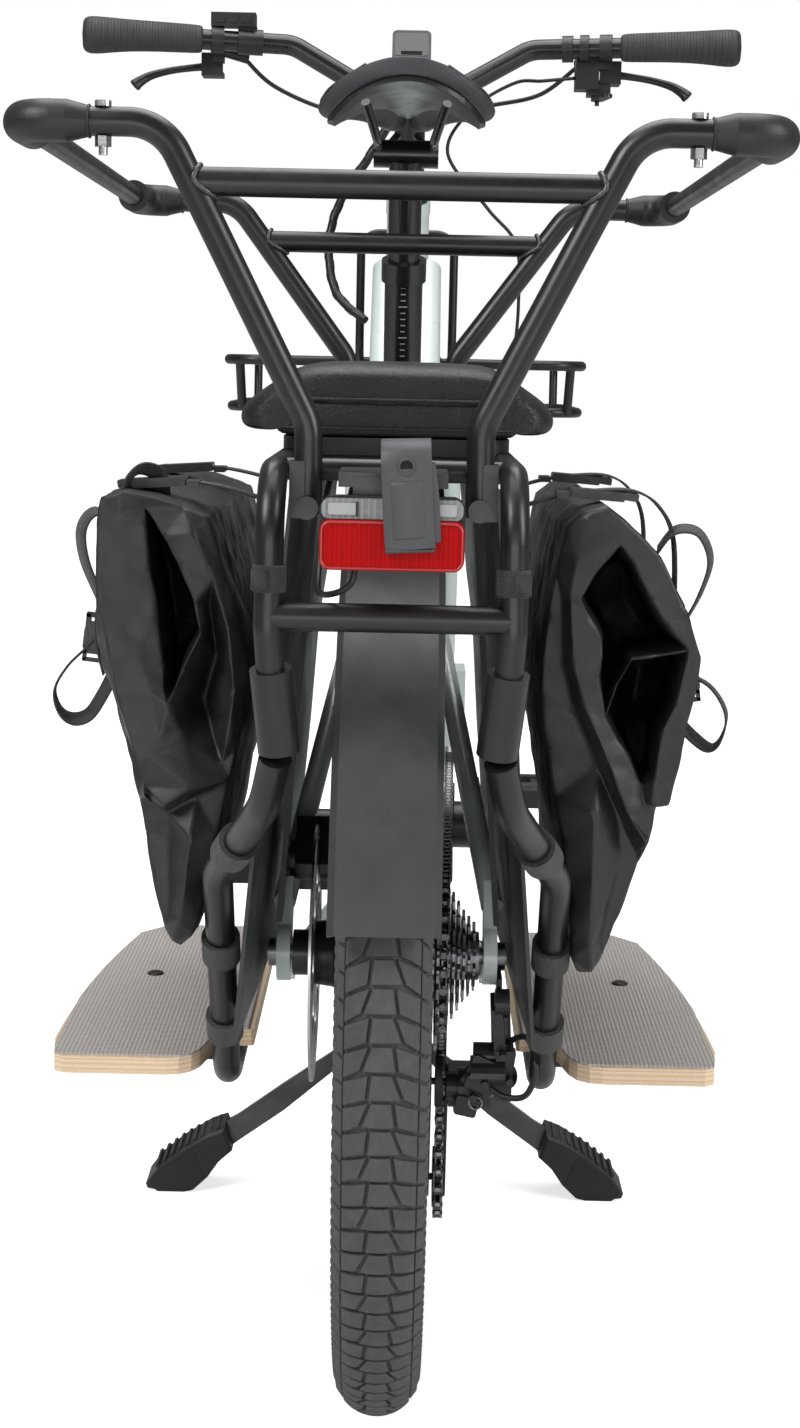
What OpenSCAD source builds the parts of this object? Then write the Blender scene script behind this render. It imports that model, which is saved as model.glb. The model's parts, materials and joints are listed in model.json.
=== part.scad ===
// Longtail cargo bicycle. Millimetres, +Z up, +Y the way it rides, +X its right-hand side.

/* [Wheels] */
// Outer radius of both tyres
wheel_r = 310; // [280:1:340]
// Width of a tyre
tyre_w = 57; // [40:1:64]
// Distance between the axles
wheelbase = 1300; // [1150:5:1450]
// Number of spokes in a wheel
spoke_count = 32; // [24:4:36]
// Outer radius of a brake disc
disc_r = 90; // [70:5:102]

/* [Frame] */
// Head angle from the ground
head_angle = 69; // [66:0.5:73]
// Radius of the head tube
head_tube_r = 24; // [20:1:30]
// Width of the down tube
down_tube_w = 78; // [50:2:90]
// Radius of the seat tube
seat_tube_r = 19; // [17:0.5:24]
// Height of the bottom bracket
crank_z = 290; // [260:5:320]
// Crank length, centre to centre
crank_len = 170; // [150:5:175]

/* [Saddle] */
// Height of the top of the saddle
saddle_z = 950; // [880:1:1000]
// Width of the saddle
saddle_w = 138; // [130:2:180]
// Radius of the sliding seatpost
stanchion_r = 13.5; // [12:0.5:15]
// Radius of the lower seatpost
post_r = 15.8; // [15:0.1:17]

/* [Rack] */
// Radius of the rack and hoop tubes
rack_r = 8; // [6:0.5:11]
// Radius of the footboard rails
rail_r = 9.5; // [7:0.5:12]
// Height of the rack rails
rack_z = 660; // [620:5:700]
// Height of the rear hoop
hoop_z = 849; // [800:1:900]
// Height of the front hoop
front_hoop_z = 841; // [800:1:900]
// Length of a footboard
board_l = 350; // [300:5:360]
// Underside height of the footboards
board_z = 236; // [220:1:260]

/* [Soft parts] */
// Width of the passenger cushion
cushion_w = 186; // [150:2:220]
// Thickness of the passenger cushion
cushion_t = 42; // [30:1:60]
// Width of a pannier at the top
pannier_w = 107; // [80:1:160]

/* [Handlebar] */
// Height of the grips
grip_z = 1077; // [1000:1:1120]
// Overall width of the handlebar
bar_w = 740; // [640:2:780]
// Radius of a grip
grip_r = 16.5; // [14:0.5:18]

/* [Hidden] */
fine = 48;
tube_fn = 32;
lap = 0.6;          // how far a straight tube runs into its bend
bend_swell = 0.05;  // a bend is this much fatter, so no two faces coincide
y_mid = 643.75;        // moves the middle of the bicycle to the origin
axle_r = 6;
run_gap = 0.05;     // radial clearance of a running fit

// ---------- helpers
function unit(v) = v / norm(v);
function side(p) = [-p[0], p[1], p[2]];
function mirrored(ps) = [for (p = ps) side(p)];
function sideways(d) = abs(d[2]) < 0.9 ? unit(cross(d, [0, 0, 1])) : unit(cross(d, [1, 0, 0]));
function bend_angle(u, v) = acos(max(-1, min(1, u * v)));

module bike() translate([0, -y_mid, 0]) children();
module both() {
  children();
  mirror([1, 0, 0]) children();
}
module placed(o, x, y, z)
  multmatrix([[x[0], y[0], z[0], o[0]], [x[1], y[1], z[1], o[1]], [x[2], y[2], z[2], o[2]],
              [0, 0, 0, 1]]) children();
module along(a, b, up = undef) {
  d = unit(b - a);
  x = is_undef(up) ? sideways(d) : unit(cross(up, d));
  placed(a, x, cross(d, x), d) children();
}
module rod(a, b, r) along(a, b) cylinder(r = r, h = norm(b - a), $fn = tube_fn);
module pipe(a, b, r, bore) difference() {
  rod(a, b, r);
  rod(a - unit(b - a), b + unit(b - a), bore);
}
module bar(a, b, w, t, up) along(a, b, up) translate([-w / 2, -t / 2, 0]) cube([w, t, norm(b - a)]);
module xrod(x0, x1, y, z, r) translate([x0, y, z]) rotate([0, 90, 0])
  cylinder(r = r, h = x1 - x0, $fn = fine);
module box(x0, y0, z0, x1, y1, z1) translate([x0, y0, z0]) cube([x1 - x0, y1 - y0, z1 - z0]);
module bent_tube(p, r, rb) {
  n = len(p);
  dirs = [for (i = [0:n - 2]) unit(p[i + 1] - p[i])];
  ang = [for (i = [0:n - 1]) (i == 0 || i == n - 1) ? 0 : bend_angle(dirs[i - 1], dirs[i])];
  cut = [for (a = ang) a > 0.5 ? rb * tan(a / 2) - lap : 0];
  for (i = [0:n - 2])
    rod(p[i] + dirs[i] * cut[i], p[i + 1] - dirs[i] * cut[i + 1], r);
  for (i = [1:n - 2])
    if (ang[i] > 0.5) {
      nrm = unit(cross(dirs[i - 1], dirs[i]));
      inward = cross(nrm, dirs[i - 1]);
      start = p[i] - dirs[i - 1] * (rb * tan(ang[i] / 2));
      placed(start + inward * rb, -inward, dirs[i - 1], nrm)
        rotate_extrude(angle = ang[i], $fn = fine)
          translate([rb, 0]) circle(r = r + bend_swell, $fn = tube_fn);
    }
}
module ring_x(x0, x1, y, z, r, bore) difference() {
  xrod(x0, x1, y, z, r);
  xrod(x0 - 1, x1 + 1, y, z, bore);
}
module turned(y, z) translate([0, y, z]) rotate([0, 90, 0]) rotate_extrude($fn = 96) children();
module rounded_rect(w, h, r) {
  square([w, h - 2 * r], center = true);
  square([w - 2 * r, h], center = true);
  for (i = [-1, 1]) for (j = [-1, 1])
    translate([i * (w / 2 - r), j * (h / 2 - r)]) circle(r = r, $fn = tube_fn);
}
module swept(points, r, sides) {
  n = len(points);
  tang = [for (i = [0:n - 1]) unit(points[min(i + 1, n - 1)] - points[max(i - 1, 0)])];
  rings = [for (i = [0:n - 1]) let (x = sideways(tang[i]), y = cross(tang[i], x))
    for (k = [0:sides - 1]) points[i] + r * (x * cos(360 * k / sides) + y * sin(360 * k / sides))];
  walls = [for (i = [0:n - 2]) for (k = [0:sides - 1]) let (m = (k + 1) % sides)
    [i * sides + k, i * sides + m, (i + 1) * sides + m, (i + 1) * sides + k]];
  polyhedron(points = rings, faces = concat([[for (k = [sides - 1:-1:0]) k]], walls,
    [[for (k = [0:sides - 1]) (n - 1) * sides + k]]), convexity = 8);
}
function spline_point(a, b, c, d, t) = 0.5 * (2 * b + (c - a) * t + (2 * a - 5 * b + 4 * c - d) * t * t
  + (3 * b - a - 3 * c + d) * t * t * t);
function spline(p, steps) = concat([for (i = [0:len(p) - 2]) for (k = [0:steps - 1])
  spline_point(p[max(i - 1, 0)], p[i], p[i + 1], p[min(i + 2, len(p) - 1)], k / steps)],
  [p[len(p) - 1]]);

// ---------- steering line
steer_up = [0, -cos(head_angle), sin(head_angle)];
steer_fwd = [0, sin(head_angle), cos(head_angle)];
fork_offset = 44;
front_axle = [0, wheelbase, wheel_r];
steer_foot = front_axle - fork_offset * steer_fwd;
crown_s = 440;
head_top_s = 640;
function steer(s) = steer_foot + s * steer_up;

// ---------- seat line
seat_foot = [0, 530, crank_z];
seat_up = [0, -cos(70), sin(70)];
function seat(z) = seat_foot + seat_up * ((z - crank_z) / seat_up[2]);
seat_tube_top = 652;
post_top = 803;
saddle_y = 345;

// ---------- frame
dropout_in = 67.5;
module dropout() {
  difference() {
    union() {
      xrod(dropout_in, 77, 0, wheel_r, 20);
      bar([72.2, 0, wheel_r], [72.2, 70, 282], 24, 9, [1, 0, 0]);
      bar([72.2, 0, wheel_r], [72.2, 32, 352], 24, 9, [1, 0, 0]);
    }
    xrod(60, 90, 0, wheel_r, axle_r + run_gap);
  }
}
module stays() {
  bent_tube([[40, 500, 262], [46, 330, 258], [73, 100, 272], [73, 55, 287]], 9, 60);
  bent_tube([[74, 24, 340], [60, 110, 400], [22, 428, 556]], 8, 60);
}
module main_frame() color("#c3cdc6") bike() difference() {
  union() {
    rod(steer(crown_s), steer(head_top_s), head_tube_r);
    rod(steer(crown_s - 11), steer(crown_s + 3), head_tube_r + 1.5);
    rod(steer(head_top_s - 3), steer(head_top_s + 11), head_tube_r + 1);
    along(steer(560) + [0, -4, 0], [0, 582, 345], [1, 0, 0])
      linear_extrude(norm(steer(560) + [0, -4, 0] - [0, 582, 345])) rounded_rect(58, down_tube_w, 16);
    rod(seat(366), seat(seat_tube_top), seat_tube_r);
    rod(seat(600) + [0, 4, 0], [0, 860, 606], 17);
    box(-47, 470, 342, 47, 600, 392);
    box(-46, 462, 236, 46, 482, 350);
    both() stays();
    both() dropout();
    box(14, 424, 384, 62, 474, 452);
    box(-40, 372, 250.3, 40, 404, 264);
    rod([0, 470, 530], [0, 440, 546], 24);
  }
  rod(steer(crown_s - 14), steer(head_top_s + 14), 14.3 + run_gap);
  rod(steer(crown_s + 16), steer(head_top_s - 16), 19);
  rod(seat(372), seat(seat_tube_top + 20), post_r + run_gap);
  xrod(-60, 60, 530, crank_z, 61);
  box(-40.4, 544, 250, 40.4, 641, 341.9);
}
module motor() color("#242527") bike() difference() {
  union() {
    xrod(-44, 44, 530, crank_z, 60.7);
    box(-40, 545, 262, 40, 640, 341.5);
    xrod(-47, 47, 530, crank_z, 34);
  }
  xrod(-60, 60, 530, crank_z, 12 + run_gap);
}
module lower_seatpost() color("#161718") bike() difference() {
  union() {
    rod(seat(520), seat(post_top), post_r);
    rod(seat(post_top - 14), seat(post_top + 2), 18.5);
  }
  rod(seat(510), seat(post_top + 10), stanchion_r + run_gap);
}
module seat_clamp() color("#101112") bike() {
  pipe(seat(seat_tube_top - 14), seat(seat_tube_top - 1), seat_tube_r + 4, seat_tube_r + 0.02);
  xrod(-9, 9, seat(636)[1] - 26.4, 638, 5);
}

// ---------- rack and hoops
rack_x = 67;
rack_back = [[64, -280, 515], [68, -289, 575], [67, -288, rack_z], [67, 250, rack_z], [24.6, 410, 616]];
module rear_rack() color("#18191b") bike() {
  both() bent_tube(rack_back, rack_r, 36);
  both() pipe([61.6, -274, 504], [66.4, -284, 552], 12, rack_r - 3);
  rod([-66, -289, 582], [66, -289, 582], rack_r);
  for (y = [-225, -60, 110, 225]) rod([-66, y, rack_z], [66, y, rack_z], 6.5);
  box(-30, -292, rack_z - 6, 30, -222, rack_z + 2);
  box(-22, -293, 634, 22, -287, rack_z);
  box(2, -303, rack_z - 4, 14, -286, 676.8);
  translate([0, 35, rack_z + 5]) linear_extrude(10.6) rounded_rect(140, 362, 22);
  both() bar([76, 0, 336], [50, -64, rack_z], 18, 4, [1, 0, 0]);
}
rail_path = [[63.5, -277, 500], [70, -262, 470], [105, -170, 408], [110, -22, 226],
             [110, 284, 226], [36, 350, 226]];
module board_rails() color("#18191b") bike() both() {
  bent_tube(rail_path, rail_r, 44);
  for (y = [30, board_bolt[1]]) rod([112, y, 227], [212, y, 227], 7);
}
board_in = 94;
board_out = 232;
board_back = -54;
board_front = board_back + board_l;
board_bolt = [180, 145];
module board_outline() polygon([
  [150, board_back], [220, board_back], [227, board_back + 5],
  for (k = [0:8]) [board_out - 26 * (k / 8) * (k / 8), board_back + 40 + k * (board_l - 70) / 8],
  [188, board_front - 8], [170, board_front], [104, board_front], [board_in, board_front - 10],
  [board_in, board_back + 70], [96, board_back + 68], [108, board_back + 67], [116, board_back + 60],
  [122, board_back + 48], [125, board_back + 32], [128, board_back + 18], [133, board_back + 8],
  [141, board_back + 2]]);
module footboard() translate([0, 0, board_z]) difference() {
  linear_extrude(12) board_outline();
  translate([board_bolt[0], board_bolt[1], -1]) cylinder(r = 3, h = 20, $fn = 24);
}
module footboards() color("#c9a878") bike() both() footboard();
module board_grips() color("#6b655e") bike() both() translate([0, 0, board_z + 12]) difference() {
  linear_extrude(1.6) intersection() {
    board_outline();
    translate([98, board_back + 3]) square([131, board_l - 7]);
  }
  translate([board_bolt[0], board_bolt[1], -1]) cylinder(r = 6.4, h = 20, $fn = 24);
}
hoop_y = -250;
hoop_foot_z = 636;
front_hoop_y = 236;
elbow_x = 172;
module hoop(y, x_foot, z_foot, z_knee, z_top, x_top, z_bar, x_bar) {
  half = [[x_foot, y, z_foot], [x_foot, y, z_knee], [x_top, y, z_top], [elbow_x, y, z_top]];
  both() bent_tube(half, rack_r, 30);
  rod([-x_bar, y, z_bar], [x_bar, y, z_bar], rack_r);
}
module hoop_feet(y, x_foot) both() {
  box(x_foot - 10, y - 10, rack_z + rack_r + 0.2, 76, y + 10, rack_z + 18);
}
module rear_hoop() color("#17181a") bike() {
  hoop(hoop_y, 48.5, hoop_foot_z, 686, hoop_z, 131.5, 818, 116);
  both() box(50, hoop_y - 9, hoop_foot_z - 2, 58.7, hoop_y + 9, hoop_foot_z + 30);
  both() rod([48.5, hoop_y - 12, hoop_foot_z + 4], [48.5, hoop_y + 12, hoop_foot_z + 4], 6.5);
}
module front_hoop() color("#17181a") bike() {
  hoop(front_hoop_y, 41, rack_z + 12, 722, front_hoop_z, 130, 812, 107.4);
  hoop_feet(front_hoop_y, 41);
}
module elbow(y, z, x_side, way) {
  along([elbow_x + 0.1, y, z], [elbow_x + 12, y, z])
    cylinder(r1 = rack_r + 0.6, r2 = elbow_r, h = 11.9, $fn = tube_fn);
  bent_tube([[elbow_x + 11.9, y, z], [x_side, y, z], [x_side, y + way * 46, z]], elbow_r, 18);
}
elbow_r = 11.6;
side_x = 210.5;
front_side_x = 203.5;
module hoop_elbows() color("#101112") bike() both() {
  elbow(hoop_y, hoop_z, side_x, 1);
  elbow(front_hoop_y, front_hoop_z, front_side_x, -1);
}
module side_rails() color("#17181a") bike() both()
  rod([side_x, hoop_y + 46.2, hoop_z], [front_side_x, front_hoop_y - 46.2, front_hoop_z], rack_r - 1);
module frame_bolts() color("#8b8d90") bike() both() {
  translate([board_bolt[0], board_bolt[1], 0]) {
    translate([0, 0, board_z - 2]) cylinder(r = 2.9, h = 14.5, $fn = 24);
    translate([0, 0, board_z + 12.05]) cylinder(r = 6, h = 1.45, $fn = 24);
  }
  translate([elbow_x - 8, hoop_y, hoop_z]) {
    translate([0, 0, 7.9]) cylinder(r = 4.6, h = 3.2, $fn = 24);
    translate([0, 0, -13.6]) cylinder(r = 4.6, h = 5.7, $fn = 6);
    translate([0, 0, -18]) cylinder(r = 2.5, h = 5, $fn = 24);
  }
}

// ---------- passenger seat, light and strap
module passenger_cushion() color("#232425") bike() hull() {
  translate([0, 35, rack_z + rack_r + 8.1]) linear_extrude(cushion_t - 26) rounded_rect(cushion_w, 372, 34);
  translate([0, 35, rack_z + rack_r + 8.1 + cushion_t - 10]) linear_extrude(10)
    rounded_rect(cushion_w - 38, 330, 34);
}
module light_block(x, y0, y1, z0, z1, r) translate([0, y1, (z0 + z1) / 2]) rotate([90, 0, 0])
  linear_extrude(y1 - y0) rounded_rect(2 * x, z1 - z0, r);
module light_housing() color("#141516") bike() light_block(39.5, -305, -293.2, 610, 650, 7);
module light_red_lens() color("#9c1512") bike() light_block(39, -318, -305.2, 611, 638, 6);
module light_clear_lens() color("#cfd2d3") bike() light_block(38, -316, -305.2, 638.4, 649, 4);
light_cable_route = [[-20, -299, 609.8], [-22, -299, 602], [-30, -292, 596], [-40, -276, 594],
                     [-42, -250, 602], [-42, -200, 626], [-42, -120, 644], [-42, 20, 646]];
module light_cable() color("#0e0e0f") bike() swept(spline(light_cable_route, 3), 1.8, 8);
module tie_down_strap() color("#1f2022") bike() difference() {
  translate([8, -319.5, 0]) {
    translate([-13.5, -3, 622]) cube([27, 3, 58]);
    translate([-13.5, -3, 677]) cube([27, 30, 3]);
  }
  translate([8, -330, 667]) rotate([-90, 0, 0]) cylinder(r = 3.5, h = 20, $fn = 32);
}
module pannier() hull() {
  box(79, -150, 598, 79 + pannier_w - 3, 228, 628);
  box(84, -142, 628, 79 + pannier_w - 12, 220, 639);
  box(100, -120, 470, 79 + pannier_w, 214, 500);
  box(118, -82, 341, 152, 176, 350);
}
module panniers() color("#1d1e1f") bike() both() pannier();
module wheel_guards() color("#4b4d4f") bike() both()
  translate([0, -150, 0]) rotate([0, 0, 2.2]) rotate([-90, 0, 0]) linear_extrude(390)
    polygon([[62, -646], [64.5, -646], [72.5, -560], [78.5, -520], [84, -440], [91, -360], [97, -290],
             [94.4, -290], [88.5, -360], [81.6, -440], [76, -520], [70, -560]]);
module rail_straps() color("#101011") bike() both()
  for (s = [[1, 0.62], [2, 0.34], [2, 0.72]]) {
    a = rail_path[s[0]];
    b = rail_path[s[0] + 1];
    d = unit(b - a);
    c = a + (b - a) * s[1];
    pipe(c - 11 * d, c + 11 * d, rail_r + 3, rail_r + 0.02);
  }
fender_r = 331;
module rear_fender() color("#333537") bike() translate([0, 0, wheel_r]) rotate([0, 90, 0])
  rotate([0, 0, 35 + 90]) rotate_extrude(angle = 127.8, $fn = 96) translate([fender_r - 20, 0]) polygon([
    [20, 28], [16, 32], [2, 32], [2, 29.5], [15, 29.5], [17.5, 27], [17.5, -27], [15, -29.5],
    [2, -29.5], [2, -32], [16, -32], [20, -28]]);

// ---------- front carrier and light
carrier_x = 215;
module loop(z, y0, y1, r) {
  c = 40;
  half = [[0, y0, z], [carrier_x, y0, z], [carrier_x, y1, z], [0, y1, z]];
  both() bent_tube(half, r, c);
}
module front_carrier() color("#17181a") bike() {
  loop(721, 1158, 1500, 6);
  loop(664, 1204, 1490, 6);
  both() {
    rod([200, 1166, 721], [200, 1208, 664], 5.5);
    rod([200, 1490, 721], [200, 1482, 664], 5.5);
    bent_tube([[0, 1132, 871], [55, 1132, 871], [55, 1132, 735], [55, 1160, 721]], 5, 22);
    rod([12, 1062, 850], [18, 1132, 871], 6);
    rod([12, 1098, 760], [40, 1158, 721], 6);
    for (x = [60, 120, 170]) rod([x, 1204, 664], [x, 1490, 664], 4);
  }
}
// ---------- wheels
tyre_mid = wheel_r - tyre_w / 2;
bead_r = wheel_r - 47.5;
module tyre_profile() difference() {
  translate([tyre_mid, 0]) circle(r = tyre_w / 2, $fn = 64);
  translate([tyre_mid + 2.5, 0]) circle(r = tyre_w / 2 - 6.5, $fn = 64);
  translate([0, -9]) square([tyre_mid - 12, 18]);
  translate([0, -60]) square([bead_r - 8, 120]);
  for (i = [-1, 1]) translate([0, i * 42.9 - 30]) square([bead_r, 60]);
}
module tyre(y) turned(y, wheel_r) tyre_profile();
module rim(y) turned(y, wheel_r) polygon([
  [bead_r - 19, 7], [bead_r - 12.5, 13], [bead_r - 0.5, 15.4], [bead_r - 0.5, 13], [bead_r - 8.2, 13],
  [bead_r - 8.2, 3], [bead_r - 11, 3], [bead_r - 11, -3], [bead_r - 8.2, -3], [bead_r - 8.2, -13],
  [bead_r - 0.5, -13], [bead_r - 0.5, -15.4], [bead_r - 12.5, -13], [bead_r - 19, -7]]);
module spokes(y, flange_l, flange_r) {
  hub_r = 26;
  rim_r = bead_r - 18.9;
  turn = 360 / spoke_count;
  for (k = [0:spoke_count - 1]) {
    right = k % 2;
    lead = floor(k / 2) % 2 ? 1 : -1;
    a = k * turn;
    h = a + lead * 58;
    x_hub = (right ? flange_r : -flange_l) + lead * 2.2;
    x_rim = right ? 3.4 : -3.4;
    rod([x_hub, y + hub_r * cos(h), wheel_r + hub_r * sin(h)],
        [x_rim, y + rim_r * cos(a), wheel_r + rim_r * sin(a)], 1);
  }
}
rear_fl = 32;
rear_fr = 17;
module rear_tyre() color("#3a3a3a") bike() tyre(0);
module rear_rim() color("#111213") bike() rim(0);
module rear_spokes() color("#1a1a1b") bike() spokes(0, rear_fl, rear_fr);
module rear_hub() color("#121314") bike() mirror([1, 0, 0]) turned(0, wheel_r) polygon([
  [axle_r + run_gap, -rear_fr - 6], [22, -rear_fr - 6], [30, -rear_fr - 3.4], [30, -rear_fr + 3.4],
  [19, -rear_fr + 5], [17, 0], [19, rear_fl - 5], [30, rear_fl - 3.4], [30, rear_fl + 3.4],
  [24, rear_fl + 5], [22, 49.8], [16, 49.8], [16, 66], [axle_r + run_gap, 66]]);
module disc(y, x) translate([0, y, wheel_r]) rotate([0, 90, 0]) translate([0, 0, x]) difference() {
  cylinder(r = disc_r, h = 1.8, $fn = 96);
  translate([0, 0, -1]) cylinder(r = 17, h = 4, $fn = 48);
  for (k = [0:7]) rotate([0, 0, k * 45]) {
    translate([50, 0, -1]) cylinder(r = 13, h = 4, $fn = 32);
    for (j = [0:3]) rotate([0, 0, j * 11.25])
      translate([76 + 3 * j, 0, -1]) cylinder(r = 2.6, h = 4, $fn = 24);
  }
}
module rear_disc() color("#8f9294") bike() disc(0, -51.7);
module rear_axle() color("#55585b") bike() {
  xrod(-84, 84, 0, wheel_r, axle_r);
  xrod(77.3, 83, 0, wheel_r, 10);
  xrod(-83, -77.3, 0, wheel_r, 10);
}
// the cog that carries the chain has its teeth cut short, so the chain stays clear of it
front_fl = 24;
front_fr = 36;
module front_tyre() color("#3a3a3a") bike() tyre(wheelbase);
module front_rim() color("#111213") bike() rim(wheelbase);
module front_spokes() color("#1a1a1b") bike() spokes(wheelbase, front_fl, front_fr);
module front_hub() color("#121314") bike() mirror([1, 0, 0]) turned(wheelbase, wheel_r) polygon([
  [axle_r + run_gap, -50.6], [11, -50.6], [14, -front_fr - 4], [30, -front_fr - 3.4],
  [30, -front_fr + 3.4], [17, -front_fr + 6], [15, 0], [17, front_fl - 6], [30, front_fl - 3.4],
  [30, front_fl + 3.4], [24, front_fl + 5], [22, 43.8], [16, 43.8], [16, 50.6],
  [axle_r + run_gap, 50.6]]);
module front_disc() color("#8f9294") bike() disc(wheelbase, -45.7);
cog_teeth = [11, 13, 15, 18, 21, 24, 28, 32, 37, 42];
chain_cog = 6;
cog_step = 3.7;
tooth = [[0, -3.4], [0.22, -3.2], [0.42, 2.4], [0.58, 2.4], [0.78, -3.2]];
pitch = 12.7;
function pitch_r(teeth) = pitch * teeth / 6.28319;
function cog_x(i) = 60 - i * cog_step;
module cog(teeth, x, short) translate([x, 0, 0]) rotate([0, 90, 0]) linear_extrude(1.8)
  if (short) circle(r = pitch_r(teeth) - 4.4, $fn = 96);
  else polygon([for (k = [0:teeth - 1]) for (t = tooth)
    (pitch_r(teeth) + t[1]) * [cos(360 * (k + t[0]) / teeth), sin(360 * (k + t[0]) / teeth)]]);
module cassette() color("#3c3d3f") bike() translate([0, 0, wheel_r]) difference() {
  union() {
    for (i = [0:9]) cog(cog_teeth[i], cog_x(i), i == chain_cog);
    translate([24.4, 0, 0]) rotate([0, 90, 0]) cylinder(r = 17, h = 40, $fn = 64);
  }
  translate([20, 0, 0]) rotate([0, 90, 0]) cylinder(r = axle_r + run_gap, h = 60, $fn = 48);
}

// ---------- crank, chain and derailleur
ring_teeth = 38;
chain_x = cog_x(chain_cog) + 0.9;
ring_x_mid = 52;
cog_back = 57;     // the chain leans outward from the back of the cassette on
chain_slope = (ring_x_mid - chain_x) / (530 + cog_back);
module crank_arm(x, way) {
  hull() {
    xrod(x, x + 12, 530, crank_z, 17);
    xrod(x, x + 12, 530 + way * crank_len, crank_z, 13);
  }
}
module crankset() color("#1e1f21") bike() {
  xrod(-76, 76, 530, crank_z, 12);
  crank_arm(74, 1);
  crank_arm(-86, -1);
  ring_x(ring_x_mid - 1.5, ring_x_mid + 1.5, 530, crank_z, pitch_r(ring_teeth) - 4.4, 52);
  for (k = [0:3]) rotate_about(530, crank_z, 45 + 90 * k)
    box(ring_x_mid + 1.2, 536, crank_z - 7, ring_x_mid + 4.5, 590, crank_z + 7);
  xrod(ring_x_mid + 1.2, 74.5, 530, crank_z, 22);
  xrod(86, 196, 530 + crank_len, crank_z, 5);
  xrod(-196, -86, 530 - crank_len, crank_z, 5);
}
module rotate_about(y, z, a) translate([0, y, z]) rotate([a, 0, 0]) translate([0, -y, -z]) children();
module pedal(x, y) difference() {
  union() {
    ring_x(x, x + 98, y, crank_z, 9, 2);
    for (i = [-1, 1]) box(x, y + i * 38 - 7, crank_z - 9, x + 98, y + i * 38 + 7, crank_z + 9);
    for (i = [0, 44, 88]) box(x + i, y - 40, crank_z - 7, x + i + 10, y + 40, crank_z + 7);
  }
  xrod(x - 5, x + 120, y, crank_z, 5 + run_gap);
}
module right_pedal() color("#17181a") bike() pedal(96, 530 + crank_len);
module left_pedal() color("#17181a") bike() pedal(-194, 530 - crank_len);
guide = [10, 214];
tension = [26, 136];
guide_r = pitch_r(11);
tension_r = pitch_r(13);
cog_r = pitch_r(cog_teeth[chain_cog]);
ring_r = pitch_r(ring_teeth);
wheels4 = [[0, wheel_r, cog_r, 1], [530, crank_z, ring_r, 1],
           [tension[0], tension[1], tension_r, 1], [guide[0], guide[1], guide_r, -1]];
function link_dir(a, b) = let (d = norm([b[0] - a[0], b[1] - a[1]]))
  atan2(b[1] - a[1], b[0] - a[0]) + asin((b[3] * b[2] - a[3] * a[2]) / d);
function touch(c, dir) = [c[0] - c[3] * c[2] * sin(dir), c[1] + c[3] * c[2] * cos(dir)];
function wrap(a) = a < 0 ? a + 360 : (a >= 360 ? a - 360 : a);
module chain_run(p, q) {
  d = unit(q - p);
  a = [0, p[0], p[1]];
  b = [0, q[0], q[1]];
  bar(a - lap * [0, d[0], d[1]], b + lap * [0, d[0], d[1]], 7, 4.3, [1, 0, 0]);
}
module chain_arc(c, from, sweep) translate([0, c[0], c[1]]) rotate([0, 0, 90]) rotate([90, 0, 0])
  rotate([0, 0, from]) rotate_extrude(angle = sweep, $fn = 96)
    translate([c[2], 0]) square([7.1, 4.4], center = true);
module chain() color("#3a3b3c") bike()
  multmatrix([[1, chain_slope, 0, chain_x + chain_slope * cog_back], [0, 1, 0, 0], [0, 0, 1, 0],
              [0, 0, 0, 1]])
    for (i = [0:3]) {
      a = wheels4[i];
      b = wheels4[(i + 1) % 4];
      p = wheels4[(i + 3) % 4];
      out = link_dir(a, b);
      in = link_dir(p, a);
      chain_run(touch(a, out), touch(b, out));
      turn = a[3] > 0 ? wrap(in - out) : wrap(out - in);
      start = a[3] > 0 ? out + 90 : in - 90;
      chain_arc(a, start, turn);
    }
module cage_plate(x) translate([x, 0, 0]) rotate([90, 0, 90]) linear_extrude(1.8) hull() {
  translate(guide) circle(r = 13, $fn = 32);
  translate(tension) circle(r = 14, $fn = 32);
}
module rear_derailleur() color("#161718") bike() {
  difference() {
    union() {
      cage_plate(chain_x + 5);
      cage_plate(chain_x - 6.8);
    }
    for (c = [guide, tension]) xrod(20, 60, c[0], c[1], 2.5);
  }
  xrod(chain_x - 7, chain_x + 7, guide[0], guide[1], 2.5);
  xrod(chain_x - 7, chain_x + 7, tension[0], tension[1], 2.5);
  box(chain_x + 6.9, -4, 200, 76, 22, 226);
  rod([68, -2, 216], [84, -24, 232], 11);
  box(77.5, -30, 214, 89, -8, 250);
  rod([82, -18, 242], [80, -8, 286], 7);
  box(77.4, -16, 262, 81, 6, wheel_r - 12);
}
module pulley(c, r, teeth) translate([chain_x - 2.6, c[0], c[1]]) rotate([0, 90, 0]) difference() {
  cylinder(r = r - 4.4, h = 5.2, $fn = 64);
  translate([0, 0, -1]) cylinder(r = 2.5 + run_gap, h = 8, $fn = 32);
  for (k = [0:5]) rotate([0, 0, 60 * k])
    translate([(r - 4.4) * 0.58, 0, -1]) cylinder(r = 2.2, h = 8, $fn = 24);
}
module guide_pulley() color("#202122") bike() pulley(guide, guide_r);
module tension_pulley() color("#202122") bike() pulley(tension, tension_r);

// ---------- brakes
module caliper(x, y, z, tilt) translate([0, y, z]) rotate([tilt, 0, 0]) difference() {
  union() {
    box(x - 16, 58, -22, x + 16, 96, 22);
    xrod(x - 20, x + 15, 72, 0, 15);
  }
  box(x - 1.4, 40, -40, x + 1.4, 91.5, 40);
}
module rear_caliper() color("#141517") bike() {
  caliper(-50.8, 0, wheel_r, 52);
  box(-76, 38, 350, -66.9, 64, 372);
}
module front_caliper() color("#141517") bike() caliper(-44.8, wheelbase, wheel_r, 140);

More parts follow.
